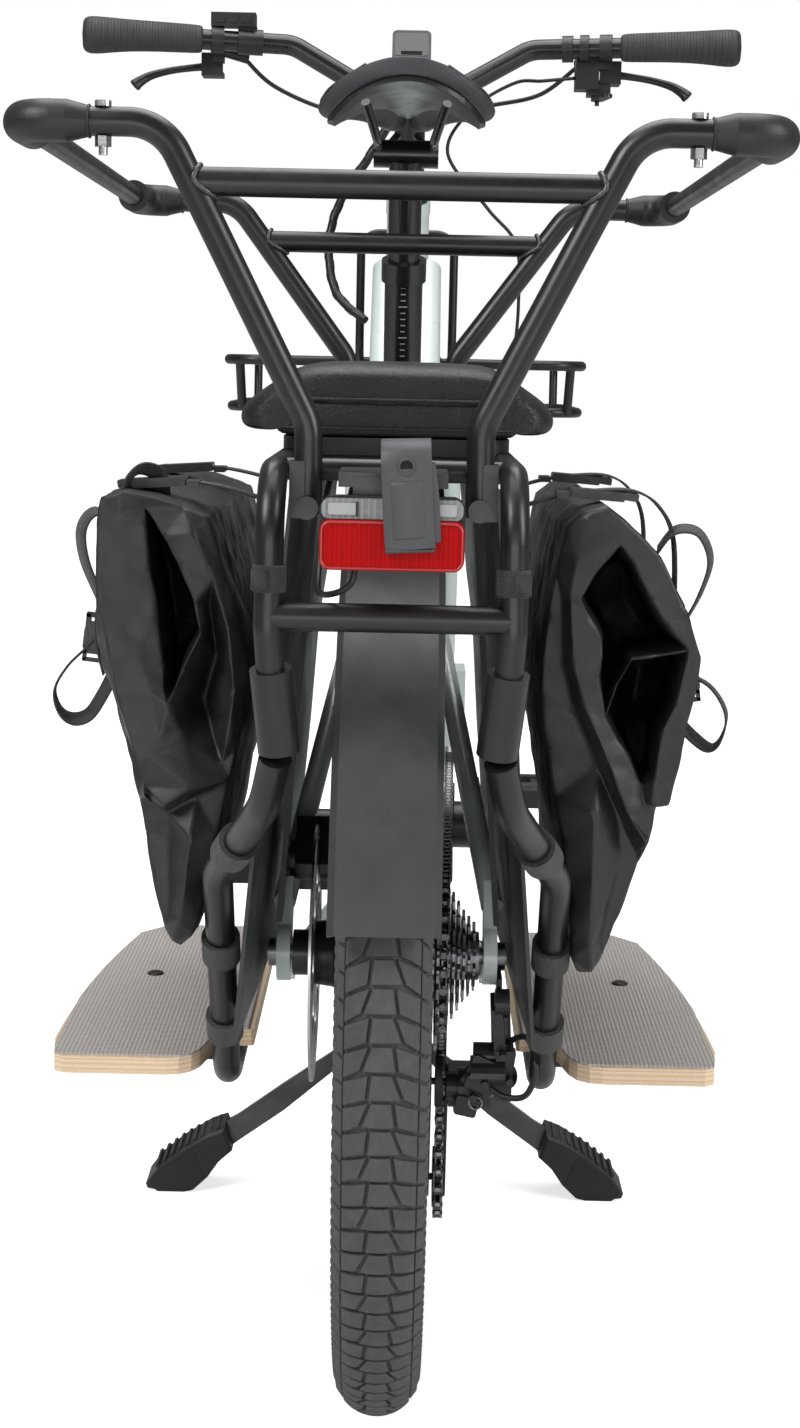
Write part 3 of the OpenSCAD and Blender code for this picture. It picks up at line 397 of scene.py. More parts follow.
def make_materials():
    extra = {k: moulded(k, color, rough, 0.00004, 1300, 0.12, 0.0, metal)
             for k, (color, rough, metal) in EXTRA_LOOKS.items()}
    return extra | {
        "frame_paint": paint_material(),
        "black_metal": moulded("black_metal", (0.0050, 0.0050, 0.0055), 0.36, 0.00001, 900, 0.06, 0.02,
            Coat_Weight=0.08, Coat_Roughness=0.3, Specular_IOR_Level=0.40),
        "motor_black": moulded("motor_black", (0.012, 0.0122, 0.0128), 0.46, 0.00012, 800, 0.12, 0.05,
            Specular_IOR_Level=0.36),
        "post_black": moulded("post_black", (0.008, 0.008, 0.009), 0.24, 0.00002, 1800, 0.1, 0.0,
            Coat_Weight=0.2, Coat_Roughness=0.12, Specular_IOR_Level=0.4),
        "steel_dark": steel_material("steel_dark", (0.22, 0.22, 0.23), 0.34),
        "bolt_steel": steel_material("bolt_steel", (0.62, 0.62, 0.63), 0.28),
        "disc_steel": disc_material(),
        "board_wood": wood_material(),
        "board_grip": board_grip_material(),
        "cushion_vinyl": vinyl_material("cushion_vinyl", (0.0060, 0.0062, 0.0066), 0.40, 640, 0.00012),
        "lamp_black": moulded("lamp_black", (0.007, 0.007, 0.008), 0.42, 0.0001, 1100, 0.1, 0.03,
            Specular_IOR_Level=0.35),
        "lens_red": lens_material("lens_red", (0.30, 0.0006, 0.0008), 0.34, 0.0026),
        "lens_clear": lens_material("lens_clear", (0.20, 0.202, 0.205), 0.2, 0.0034),
        "cable_black": moulded("cable_black", (0.008, 0.008, 0.009), 0.40, 0.00005, 1500, 0.1,
            Specular_IOR_Level=0.4),
        "strap_rubber": moulded("strap_rubber", (0.042, 0.043, 0.047), 0.50, 0.00012, 900, 0.14, 0.05,
            Specular_IOR_Level=0.45),
        "bag_fabric": bag_material(),
        "guard_plastic": moulded("guard_plastic", (0.022, 0.023, 0.024), 0.44, 0.00008, 1200, 0.10, 0.05,
            Specular_IOR_Level=0.4),
        "strap_fabric": webbing_material("strap_fabric", (0.020, 0.020, 0.021)),
        "fender_plastic": moulded("fender_plastic", (0.030, 0.031, 0.032), 0.44, 0.00010, 1000, 0.10, 0.06,
            Specular_IOR_Level=0.4),
        "tyre_rubber": tyre_material(),
        "rim_black": moulded("rim_black", (0.008, 0.008, 0.009), 0.32, 0.00003, 1500, 0.1, 0.0,
            Specular_IOR_Level=0.38),
        "spoke_black": moulded("spoke_black", (0.02, 0.02, 0.021), 0.3, 0.00001, 1500, 0.1, 0.0, 0.4),
        "grip_rubber": rubber_ribs_material(),
        "pedal_plastic": moulded("pedal_plastic", (0.013, 0.013, 0.014), 0.55, 0.0002, 800, 0.12, 0.08,
            Specular_IOR_Level=0.35),
        "saddle_cover": vinyl_material("saddle_cover", (0.034, 0.036, 0.039), 0.44, 800, 0.0001),
        "control_plastic": moulded("control_plastic", (0.009, 0.009, 0.010), 0.36, 0.00006, 1200, 0.1, 0.03,
            Specular_IOR_Level=0.42),
    }


def dress_cad(mats):
    """Gives every CAD node its slot's material."""
    for row in frame["record"]["subparts"]:
        obj = NODES[row["node"]]
        obj.data.materials.clear()
        obj.data.materials.append(mats[row["material_slot"]])


# ---------- mesh helpers
class Build:
    """Collects faces for one mesh; points are in the bicycle's own millimetres."""

    def __init__(self):
        self.verts, self.faces = [], []

    def add(self, verts, faces):
        first = len(self.verts)
        self.verts += [Vector(v) for v in verts]
        self.faces += [tuple(first + i for i in f) for f in faces]

    def make(self, name, mat, body, replaces=(), smooth=True, slot=None, shape=None):
        mesh = bpy.data.meshes.new(name)
        mesh.from_pydata([bike(*v) for v in self.verts], [], self.faces)
        mesh.materials.append(MATS[mat])
        obj = bpy.data.objects.new(name, mesh)
        bpy.context.scene.collection.objects.link(obj)
        tidy_normals(obj)
        if shape:
            shape(obj)
        obj.data.polygons.foreach_set("use_smooth", [smooth] * len(obj.data.polygons))
        if body:
            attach(obj, body)
        if replaces:
            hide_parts(*replaces)
        return obj


def tidy_normals(obj):
    work = bmesh.new()
    work.from_mesh(obj.data)
    bmesh.ops.recalc_face_normals(work, faces=work.faces)
    work.to_mesh(obj.data)
    work.free()


def bake_modifiers(obj, *mods):
    """Adds modifiers given as (type, {settings}), then keeps their result as the mesh."""
    for kind, values in mods:
        m = obj.modifiers.new(kind.lower(), kind)
        for k, v in values.items():
            setattr(m, k, v)
    bpy.context.view_layer.update()
    seen = obj.evaluated_get(bpy.context.evaluated_depsgraph_get())
    mesh = bpy.data.meshes.new_from_object(seen)
    obj.modifiers.clear()
    obj.data = mesh


def spline(points, steps):
    """Catmull-Rom curve through the points."""
    p = [Vector(q) for q in points]
    out = []
    for i in range(len(p) - 1):
        a, b, c, d = p[max(i - 1, 0)], p[i], p[i + 1], p[min(i + 2, len(p) - 1)]
        for k in range(steps):
            t = k / steps
            out.append(0.5 * (2 * b + (c - a) * t + (2 * a - 5 * b + 4 * c - d) * t * t
                    + (3 * b - a - 3 * c + d) * t ** 3))
    return out + [p[-1]]


def sweep(points, profile, up=(1, 0, 0), closed=False, twist=None):
    """Moves a profile of (across, up) pairs along a line. Returns vertices and faces."""
    p = [Vector(q) for q in points]
    n, m = len(p), len(profile)
    verts, faces = [], []
    side = None
    for i in range(n):
        a, b = (p[i - 1], p[(i + 1) % n]) if closed else (p[max(i - 1, 0)], p[min(i + 1, n - 1)])
        t = (b - a).normalized()
        ref = Vector(up) if side is None else side
        side = (ref - t * ref.dot(t)).normalized()
        rise = t.cross(side)
        for j, (u, v) in enumerate(profile if twist is None else twist(i)):
            verts.append(p[i] + side * u + rise * v)
    for i in range(n if closed else n - 1):
        for j in range(m):
            a, b = i * m, ((i + 1) % n) * m
            k = (j + 1) % m
            faces.append((a + j, a + k, b + k, b + j))
    if not closed:
        faces.append(tuple(range(m))[::-1])
        faces.append(tuple((n - 1) * m + j for j in range(m)))
    return verts, faces


def circle(r, n=12):
    return [(r * math.cos(2 * math.pi * k / n), r * math.sin(2 * math.pi * k / n)) for k in range(n)]


def band(w, t, r=0.5):
    """Profile of a flat strap w wide and t thick, with softened corners."""
    a, b = w / 2, t / 2
    r = min(r, b * 0.9)
    return [(-a, -b + r), (-a + r, -b), (a - r, -b), (a, -b + r), (a, b - r), (a - r, b), (-a + r, b),
            (-a, b - r)]


def lathe(axis_y, axis_z, profile, steps, start=0.0, sweep_deg=360.0):
    """Turns a profile of (radius, x) pairs about an axle along x. Angle 0 points forward, 90 up."""
    full = abs(sweep_deg - 360) < 1e-6
    rows = steps if full else steps + 1
    m = len(profile)
    verts, faces = [], []
    for i in range(rows):
        a = math.radians(start + sweep_deg * i / steps)
        for r, x in profile:
            verts.append((x, axis_y + r * math.cos(a), axis_z + r * math.sin(a)))
    for i in range(steps):
        a, b = i * m, ((i + 1) % rows) * m
        for j in range(m):
            k = (j + 1) % m
            faces.append((a + j, a + k, b + k, b + j))
    if not full:
        faces.append(tuple(range(m)))
        faces.append(tuple((rows - 1) * m + j for j in range(m))[::-1])
    return verts, faces


# ---------- tyres
WHEEL_R = 310
WHEELBASE = 1300
TYRE_MID = 281.5
TREAD_H = 2.6


def casing_r(phi):
    """Radius of the tyre's casing about its own middle, at phi degrees from the crown."""
    swell = min(1, max(0, (abs(phi) - 52) / 34))
    return 25.9 + 2.2 * swell * swell * (3 - 2 * swell)


def tread_point(s, t, h):
    """Across s and along t, both in mm over the crown, and h above the casing."""
    phi = math.degrees(s / 28.4)
    r = casing_r(phi) + h
    a = math.radians(phi)
    radius = TYRE_MID + r * math.cos(a)
    turn = -t / WHEEL_R
    return (r * math.sin(a), -radius * math.cos(turn), radius * math.sin(turn))


def tread_block(build, y, top, bottom, height, cuts=3):
    """A raised block between two edges, each (s, t) to (s, t), with sloping sides."""
    (a0, a1), (b0, b1) = top, bottom
    mid = Vector(((a0[0] + a1[0] + b0[0] + b1[0]) / 4, (a0[1] + a1[1] + b0[1] + b1[1]) / 4))
    verts = []
    for h, inset in ((-0.5, 0.0), (height - 0.35, 0.12), (height, 0.42)):
        for e0, e1 in ((a0, a1), (b0, b1)):
            for k in range(cuts + 1):
                p = Vector(e0).lerp(Vector(e1), k / cuts)
                d = mid - p
                p = p + d * min(1, inset * 1.6 / max(d.length, 1e-6))
                x, yy, z = tread_point(p.x, p.y, h)
                verts.append((x, y + yy, WHEEL_R + z))
    n = cuts + 1
    ring = list(range(n)) + [2 * n - 1 - k for k in range(n)]
    faces = []
    for level in (0, 1):
        lo, hi = level * 2 * n, (level + 1) * 2 * n
        for i in range(len(ring)):
            a, b = ring[i], ring[(i + 1) % len(ring)]
            faces.append((lo + a, lo + b, hi + b, hi + a))
    top_row = 4 * n
    faces += [(top_row + k, top_row + k + 1, top_row + n + k + 1, top_row + n + k) for k in range(cuts)]
    build.add(verts, faces)


def tyre(name, y, body, node):
    build = Build()
    outer = [(TYRE_MID + casing_r(p) * math.cos(math.radians(p)), casing_r(p) * math.sin(math.radians(p)))
             for p in range(-132, 133, 8)]
    inner = [(TYRE_MID + 22.5 * math.cos(math.radians(p)), 22.5 * math.sin(math.radians(p)))
             for p in range(124, -125, -31)]
    build.add(*lathe(y, WHEEL_R, outer + inner, 236))
    rows = 118
    pitch = 2 * math.pi * WHEEL_R / rows
    g = 0.95                                   # half a groove
    for k in range(rows):
        t = k * pitch
        low, high = t + g, t + pitch - g
        left, right = ((-11.0, 8.4), (-7.2, 12.0))[k % 2]
        tread_block(build, y, ((-5.6, low), (6.2, low)), ((left, high), (right, high)), TREAD_H, 4)
        slope = 6.2
        outs = (-24.6, 24.6)
        tread_block(build, y, ((outs[0], low + slope), (-5.6 - 2 * g, low)),
                    ((outs[0], high + slope), (left - 2 * g, high)), TREAD_H, 4)
        tread_block(build, y, ((6.2 + 2 * g, low), (outs[1], low + slope)),
                    ((right + 2 * g, high), (outs[1], high + slope)), TREAD_H, 4)
        for s in (-1, 1):
            edge = sorted((s * 26.2, s * 33.2))
            d = (slope + 1.2, slope + 4.0)[::s]
            tread_block(build, y, ((edge[0], low + d[1 if s < 0 else 0]),
                    (edge[1], low + d[0 if s < 0 else 1])),
                        ((edge[0], high + d[1 if s < 0 else 0]), (edge[1], high + d[0 if s < 0 else 1])),
                        TREAD_H * 0.8, 2)
            for half in (0.0, 0.5):
                q = t + pitch * half + slope + 3
                edge = sorted((s * 34.8, s * 40.5))
                tread_block(build, y, ((edge[0], q + 0.8), (edge[1], q + 0.8)),
                            ((edge[0], q + pitch * 0.5 - 2.2), (edge[1], q + pitch * 0.5 - 2.2)), 0.7, 1)
    obj = build.make(name, "tyre_rubber", body, (node,), smooth=False)
    casing_faces = 236 * len(outer + inner)
    obj.data.polygons.foreach_set("use_smooth", [i < casing_faces for i in range(len(obj.data.polygons))])
    return obj


# ---------- panniers
LEFT_BAG = {
    "outline": [(181, 636, 6), (168, 640, 2), (149, 637, 4), (129, 631, 8), (115, 625, 14), (107, 597, 16),
                (99, 571, 16), (91, 543, 16), (89, 527, 16), (92, 504, 16), (97, 479, 16), (101, 459, 16),
                (108, 421, 14), (114, 392, 14), (118, 371, 14), (123, 358, 14), (131, 350, 14),
                (137, 353, 16),
                (142, 362, 18), (150, 396, 20), (155, 423, 22), (159, 444, 24), (166, 469, 26),
                (172, 490, 28),
                (177, 510, 30), (183, 529, 26), (184, 548, 14), (184, 577, 6), (184, 601, 4), (184, 621, 4)],
    "folds": [[(181, 636, 6), (170, 625, 3), (169, 605, 6), (167, 577, 8), (159, 545, 6), (150, 516, 5),
               (144, 484, 4), (150, 474, 3)],
              [(149, 637, 4), (154, 630, 8), (143, 613, 5), (133, 597, 4), (122, 573, 0), (119, 553, 4),
               (131, 529, 4), (139, 509, 2), (127, 484, 10), (106, 470, 16)],
              [(153, 622, 6), (151, 592, 10), (146, 560, 10), (142, 532, 10), (141, 516, 8)],
              [(148, 616, 44), (145, 590, 52), (141, 560, 54), (138, 540, 48), (137, 524, 40),
              (133, 538, 46),
               (124, 553, 50), (127, 571, 50), (136, 594, 48), (145, 610, 44), (148, 616, 44)],
              [(115, 571, 20), (111, 537, 30), (119, 508, 34), (113, 489, 26)],
              [(129, 631, 8), (123, 615, 2), (111, 587, 3), (102, 557, 5), (98, 516, 6), (102, 486, 8),
               (106, 470, 16)],
              [(178, 553, 3), (171, 510, 3), (159, 472, 3), (153, 450, 2), (141, 444, 2), (125, 455, 4),
               (106, 470, 16)],
              [(172, 500, 22), (157, 463, 22), (150, 442, 20), (141, 437, 18), (122, 448, 16)],
              [(125, 423, 2), (131, 371, 4)], [(140, 420, 22), (139, 375, 18)]],
}
RIGHT_BAG = {
    "outline": [(117, 633, 5), (130, 637, 2), (143, 628, 3), (165, 607, 3), (180, 577, 3), (192, 545, 3),
                (190, 523, 5), (186, 502, 6), (183, 479, 6), (176, 451, 5), (169, 448, 12), (165, 427, 10),
                (159, 410, 20), (152, 388, 18), (144, 364, 16), (139, 350, 14), (132, 339, 12),
                (123, 339, 12),
                (118, 348, 12), (118, 364, 14), (115, 396, 14), (110, 425, 16), (104, 451, 18),
                (98, 483, 18),
                (94, 515, 18), (94, 540, 18), (97, 568, 18), (101, 595, 14), (106, 624, 9)],
    "folds": [[(117, 633, 5), (113, 605, 2), (109, 580, 2), (112, 540, 2), (120, 515, 1), (136, 479, 1),
               (150, 446, 2), (163, 426, 3)],
              [(105, 578, 16), (107, 538, 17), (115, 509, 16), (131, 473, 16), (146, 440, 18),
              (158, 417, 18)],
              [(139, 614, 0), (125, 597, 2), (116, 580, 2), (123, 568, 3), (131, 555, 4), (130, 532, 4),
               (134, 506, 5), (148, 485, 8), (159, 462, 10), (161, 452, 8)],
              [(139, 614, 0), (147, 603, 2), (159, 580, 3), (170, 564, 3), (184, 549, 2), (192, 545, 3)],
              [(134, 506, 5), (140, 526, 2), (149, 543, 1), (166, 545, 6), (184, 549, 2)],
              [(139, 606, 40), (145, 599, 46), (157, 577, 50), (168, 561, 48), (175, 553, 42),
              (166, 551, 48),
               (147, 549, 50), (138, 531, 40), (134, 521, 30), (134, 540, 44), (136, 556, 50),
               (129, 569, 50),
               (122, 580, 46), (129, 595, 44), (139, 606, 40)],
              [(148, 575, 54), (157, 562, 54)],
              [(139, 508, 34), (144, 525, 46), (151, 539, 50), (166, 541, 50), (178, 543, 42),
              (173, 516, 46),
               (165, 499, 46), (162, 474, 36), (159, 471, 34), (149, 491, 42), (139, 508, 34)],
              [(160, 531, 54), (156, 511, 54)],
              [(184, 549, 2), (177, 515, 3), (169, 498, 3), (166, 468, 3), (165, 452, 4)],
              [(130, 446, 3), (130, 359, 3)], [(148, 410, 18), (138, 365, 16)]],
}
BAG_REAR, BAG_FRONT = -150, 228
SHADE_FROM_DEPTH, SHADE_FADE_DEPTH = 22, 18      # depth in mm at which a fold turns near black with painted shade, and over how much


def fold_cap(bag):
    """The bag's end as a triangulated sheet: crisp folds are constraint edges."""
    at, edges = {}, []
    for x, z, d in bag["outline"]:
        at.setdefault((x, z), d)
    n = len(bag["outline"])
    order = [(x, z) for x, z, d in bag["outline"]]
    for line in bag["folds"]:
        for x, z, d in line:
            if (x, z) not in at:
                at[(x, z)] = d
                order.append((x, z))
        keys = [(x, z) for x, z, d in line]
        edges += [(order.index(a), order.index(b)) for a, b in zip(keys, keys[1:])]
    flat = [Vector(k) for k in order]
    found = geometry.delaunay_2d_cdt(flat, edges, [list(range(n))], 1, 1e-4)
    depth = []
    for p, origin in zip(found[0], found[3]):
        depth.append(at[order[origin[0]]] if origin else 10)
    return [tuple(p) for p in found[0]], depth, [tuple(f) for f in found[2]]


def crumple(obj, seed, big=1.8, small=0.9):
    """Soft dents and creases, the same ones each run."""
    obj.data.update()
    moves = []
    for v in obj.data.vertices:
        p = v.co * 1000 + Vector((seed, 0, 0))
        a = noise.noise(p / 62)
        b = abs(noise.noise(p / 24 + Vector((7, 3, seed)))) - 0.25
        c = noise.noise(p / 9)
        moves.append(v.normal * ((a * big + b * small * 2 + c * small * 0.35) * MM))
    for v, m in zip(obj.data.vertices, moves):
        v.co += m


def pannier(name, bag, sign, seed):
    """A collapsed roll-top bag: its folded rear end, its long sides and its flat front end."""
    build = Build()
    flat, depth, faces = fold_cap(bag)
    build.add([(sign * x, BAG_REAR + d, z) for (x, z), d in zip(flat, depth)], faces)
    ring = [(x, z) for x, z, d in bag["outline"]]
    n = len(ring)
    cx, cz = sum(x for x, z in ring) / n, sum(z for x, z in ring) / n
    stations = [(-0.001, 0.0), (0.16, 2.5), (0.33, 4.5), (0.5, 3.5), (0.68, 4.0), (0.85, 2.0), (1.0, -3.0)]
    verts = []
    for share, grow in stations:
        for i, (x, z) in enumerate(ring):
            start = BAG_REAR + bag["outline"][i][2]
            y = start + (BAG_FRONT - start) * max(share, 0)
            out = Vector((x - cx, z - cz)).normalized() * grow * (0.4 if x < 110 else 1.0)
            sag = -3.0 * math.sin(math.pi * max(share, 0)) * (z > 600)
            verts.append((sign * min(x + out.x, 190), y, z + out.y * 0.5 + sag))
    rows = len(stations)
    walls = [(i * n + j, i * n + (j + 1) % n, (i + 1) * n + (j + 1) % n, (i + 1) * n + j)
             for i in range(rows - 1) for j in range(n)]
    build.add(verts, walls)
    end = (rows - 1) * n
    base = len(build.verts) - len(verts)
    mid = len(build.verts)
    build.verts.append(Vector((sign * (cx + 2), BAG_FRONT - 14, cz)))
    low = len(build.verts)
    build.verts.append(Vector((sign * (cx - 4), BAG_FRONT - 4, cz - 90)))
    for j in range(n):
        a, b = base + end + j, base + end + (j + 1) % n
        hub = low if (ring[j][1] < cz - 60) else mid
        build.faces.append((a, b, hub))
        if (ring[(j + 1) % n][1] < cz - 60) != (ring[j][1] < cz - 60):
            build.faces.append((b, low, mid))

    # painted shade: weight of the near-black colour painted into the deep folds, none on the outline
    rim = {(x, z) for x, z, d in bag["outline"]}
    dark = [0 if (round(x), round(z)) in rim else min(1, max(0, (d - SHADE_FROM_DEPTH) / SHADE_FADE_DEPTH))
            for (x, z), d in zip(flat, depth)]

    def shape(obj):
        # stores the painted fold shade on the mesh for the bag material
        fold_shade = obj.data.attributes.new("fold_shade", "FLOAT", "POINT")
        for k, value in enumerate(dark):
            fold_shade.data[k].value = value
        work = bmesh.new()
        work.from_mesh(obj.data)
        bmesh.ops.remove_doubles(work, verts=work.verts, dist=0.00005)
        bmesh.ops.triangulate(work, faces=work.faces)
        bmesh.ops.recalc_face_normals(work, faces=work.faces)
        work.to_mesh(obj.data)
        work.free()
        bake_modifiers(obj, ("SUBSURF", {"subdivision_type": "SIMPLE", "levels": 3, "render_levels": 3}),
                       ("SMOOTH", {"factor": 0.5, "iterations": 2}))
        crumple(obj, seed)
    obj = build.make(name, "bag_fabric", "frame", ("panniers",), shape=shape)
    return obj


def webbing(name, points, width, thick, sign, across=(0, 1, 0), mat="strap_fabric", replaces=(), steps=6):
    line = [(sign * x, y, z) for x, y, z in points]
    build = Build()
    build.add(*sweep(spline(line, steps), band(width, thick, 0.3), across))
    return build.make(name, mat, "frame", replaces)


def block(build, centre, size, turn=0.0, lean=0.0):
    """A box turned about y by turn and about x by lean degrees, its corners cut a little."""
    hx, hy, hz = (s / 2 for s in size)
    cut = min(hx, hz) * 0.22
    shape = [(-hx + cut, -hz), (hx - cut, -hz), (hx, -hz + cut), (hx, hz - cut), (hx - cut, hz),
             (-hx + cut, hz), (-hx, hz - cut), (-hx, -hz + cut)]
    spin = Matrix.Rotation(math.radians(lean), 3, "X") @ Matrix.Rotation(math.radians(turn), 3, "Y")
    verts = [Vector(centre) + spin @ Vector((x, y, z)) for y in (-hy, hy) for x, z in shape]
    faces = [(k, (k + 1) % 8, 8 + (k + 1) % 8, 8 + k) for k in range(8)]
    build.add(verts, faces + [tuple(range(8))[::-1], tuple(range(8, 16))])


def buckle(build, centre, turn=0.0, lean=0.0, size=1.0):
    """Side-release buckle: two ladders, a body with a waist and its prongs."""
    s = size
    spin = Matrix.Rotation(math.radians(lean), 3, "X") @ Matrix.Rotation(math.radians(turn), 3, "Y")
    parts = [((0, 0, 13), (26, 5, 4)), ((-11, 0, 7), (4, 5, 14)), ((11, 0, 7), (4, 5, 14)),
            ((0, 0, 2), (20, 6, 11)),
             ((0, 0, -9), (27, 7, 12)), ((0, 0, -17), (26, 5, 3)), ((-11.5, 0, -18), (3, 5, 12)),
             ((11.5, 0, -18), (3, 5, 12)), ((0, 0, -23.5), (26, 5, 3)), ((-12, -0.6, -2), (3, 4, 8)),
             ((12, -0.6, -2), (3, 4, 8))]
    for where, dims in parts:
        block(build, Vector(centre) + spin @ (Vector(where) * s), [d * s for d in dims], turn, lean)


def bag_straps():
    """Loose tails hanging beside the bags, straps over their tops and the buckles between them."""
    webbing("left_upper_loop", [(183, -94, 618), (190, -96, 624), (197, -98, 619), (200, -99, 608),
            (197, -98, 590), (188.5, -95, 569), (184, -92, 558)], 20, 1.4, -1)
    webbing("left_lower_loop", [(186, -90, 548), (196, -92, 537), (209, -96, 524), (217, -99, 509),
            (214, -97, 495), (206, -94, 489), (196, -92, 492), (188, -90, 504),
            (182, -88, 516)], 20, 1.4, -1)
    webbing("left_side_strap", [(185, -92, 572), (190, -94, 560), (190, -94, 540), (186, -92, 520)],
            20, 1.4, -1)
    webbing("left_handle", [(171, -112, 635), (169, -110, 645), (161, -104, 652), (151, -98, 648),
            (149, -96, 634)], 14, 1.4, -1)
    webbing("right_upper_loop", [(168, -96, 607), (178, -100, 620), (193, -102, 619), (201, -103, 602),
            (196, -100, 580), (187, -94, 560)], 20, 1.4, 1)
    webbing("right_lower_loop", [(186, -90, 528), (205, -94, 520), (216, -98, 503), (214, -96, 486),
            (207, -94, 479), (196, -90, 486), (184, -88, 498)], 20, 1.4, 1)
    build = Build()
    buckle(build, (-188, -92, 546), 6, 0, 0.8)
    buckle(build, (187, -92, 528), -8, 0, 0.8)
    for s, x, z in ((-1, 150, 640), (1, 128, 638)):
        for y in (-96, 92):
            block(build, (s * x, y, z + 3.5), (34, 20, 6), s * 4)
            block(build, (s * (x + 21), y, z + 2.5), (10, 16, 5), s * 8)
            block(build, (s * (x - 22), y, z + 3), (8, 22, 4), 0)
    build.make("bag_buckles", "control_plastic", "frame", smooth=False)
    for s, name in ((-1, "left"), (1, "right")):
        for k, y in enumerate((-96, 92)):
            edge = 186 if s < 0 else 178
            webbing(f"{name}_top_strap_{k}", [(84, y, 634), (104, y, 640), (128, y, 644), (152, y, 644),
                    (edge - 10, y, 634), (edge, y, 612), (edge + 2, y, 560)],
                    19, 1.5, s)


# ---------- padded seats
def loft(build, loops, cap=True):
    """Skins between closed loops that have the same number of points."""
    n = len(loops[0])
    verts = [p for loop in loops for p in loop]
    faces = [(i * n + j, i * n + (j + 1) % n, (i + 1) * n + (j + 1) % n, (i + 1) * n + j)
             for i in range(len(loops) - 1) for j in range(n)]
    if cap:
        faces += [tuple(range(n))[::-1], tuple((len(loops) - 1) * n + j for j in range(n))]
    build.add(verts, faces)


CUSHION_SECTION = [(0, 722), (32, 722), (52, 721), (64, 717.5), (74, 711), (85, 704), (94, 697.5),
        (99.5, 690),
        (99, 682.5), (94, 679), (86, 679.3), (80, 686), (77, 697), (40, 698), (0, 698)]
CUSHION_ROWS = [(-148.5, 0.80, 0.50), (-147, 0.86, 0.68), (-141, 0.92, 0.85), (-130, 0.965, 0.945),
                (-112, 0.99, 0.985), (-80, 1.0, 1.0), (-20, 1.0, 0.99), (60, 1.0, 0.985), (130, 1.0, 0.995),
                (175, 0.985, 0.98), (200, 0.94, 0.9), (212, 0.88, 0.76), (218, 0.8, 0.55)]


def cushion():
    """Firm moulded pad: a domed crown that rolls down into a lobe along each side."""
    build = Build()
    rows = []
    for y, plan, crown in CUSHION_ROWS:
        half = []
        for x, z in CUSHION_SECTION:
            high = z if z < 698 else 698 + (z - 698) * crown
            half.append(Vector((x * plan if x > 77 else x * min(1, plan + 0.06), y, high)))
        rows.append(half + [Vector((-v.x, v.y, v.z)) for v in half[-2:0:-1]])
    loft(build, rows)

    def shape(obj):
        bake_modifiers(obj, ("SUBSURF", {"levels": 3, "render_levels": 3}))
        for v in obj.data.vertices:
            q = v.co * 1000
            v.co += v.normal * (0.5 * MM * noise.noise(q / 48) + 0.16 * MM * noise.noise(q / 15))
    pad = build.make("seat_cushion", "cushion_vinyl", "frame", ("passenger_cushion",), shape=shape)
    build = Build()
    for lift, r, deep in ((698.6, 1.3, -152.2), (681.4, 0.8, -153.0)):
        line = [(x, deep + 9 * (abs(x) / 74) ** 8, lift) for x in range(-74, 75, 4)]
        build.add(*sweep(spline(line, 2), circle(r, 8), (0, 0, 1)))
    build.make("cushion_piping", "cushion_vinyl", "frame")
    build = Build()
    loops = []
    for z, grow in ((677.0, -3.0), (678.6, -0.6), (681, 0.0), (694.0, 0.0), (697.0, -1.0), (698.5, -4.0)):
        w, y0, y1, r = 74 + grow, -152.0 - grow, 208 + grow, 22
        ring = []
        for cx, cy, a0 in ((w - r, y1 - r, 0), (-w + r, y1 - r, 90), (-w + r, y0 + r, 180),
                (w - r, y0 + r, 270)):
            for k in range(7):
                a = math.radians(a0 + 15 * k)
                ring.append(Vector((cx + r * math.cos(a), cy + r * math.sin(a), z)))
        loops.append(ring)
    loft(build, loops)
    build.make("cushion_base", "cushion_vinyl", "frame")


SADDLE_ARCH_Z = 858.5
SADDLE_OUT, SADDLE_IN = 91.3, 77.9


def saddle_width(y):
    """Half width of the saddle at y, widest over the rider's seat bones."""
    if y <= 262:
        return 69 * math.sqrt(max(0, 1 - ((262 - y) / 48.3) ** 2))
    t = (y - 262) / 198
    if t <= 1:
        ease = t * t * (3 - 2 * t)
        return 69 - 49 * ease
    return 20 * math.sqrt(max(0, 1 - ((y - 460) / 20) ** 2))


def saddle_loop(y, inset=0.0, thick=1.0):
    w = max(saddle_width(y) - inset, 2)
    top = math.asin(min(1, w / SADDLE_OUT))
    skirt = 15 * min(1, max(0, (y - 300) / 110))
    pts = []
    for k in range(-10, 11):
        a = top * k / 10
        dip = 1.6 * math.exp(-(k / 2.6) ** 2) * min(1, max(0, (y - 225) / 30)) if y < 420 else 0
        r = SADDLE_OUT - dip - inset * 0.35
        pts.append((r * math.sin(a), SADDLE_ARCH_Z + r * math.cos(a)))
    edge_x, edge_z = pts[-1]
    half = (SADDLE_OUT - SADDLE_IN) / 2 * thick
    out = Vector((math.sin(top), math.cos(top)))
    down = Vector((math.cos(top), -math.sin(top)))
    lip = []
    centre = Vector((edge_x, edge_z)) - out * half + Vector((0, -skirt))
    for k in range(1, 6):
        a = math.radians(90 - 30 * k)
        lip.append(centre + out * half * math.sin(a) + down * half * math.cos(a) * 0.75)
    inner = []
    inn = math.asin(min(1, max(w - 5, 1) / SADDLE_IN))
    for k in range(8, -9, -2):
        a = inn * k / 8
        low = skirt * min(1, abs(k) / 8) ** 2
        inner.append((SADDLE_IN * math.sin(a), SADDLE_ARCH_Z + SADDLE_IN * math.cos(a) - low))
    loop = pts + [(v.x, v.y) for v in lip] + inner + [(-v.x, v.y) for v in reversed(lip)]
    return [Vector((x, y, z)) for x, z in loop]


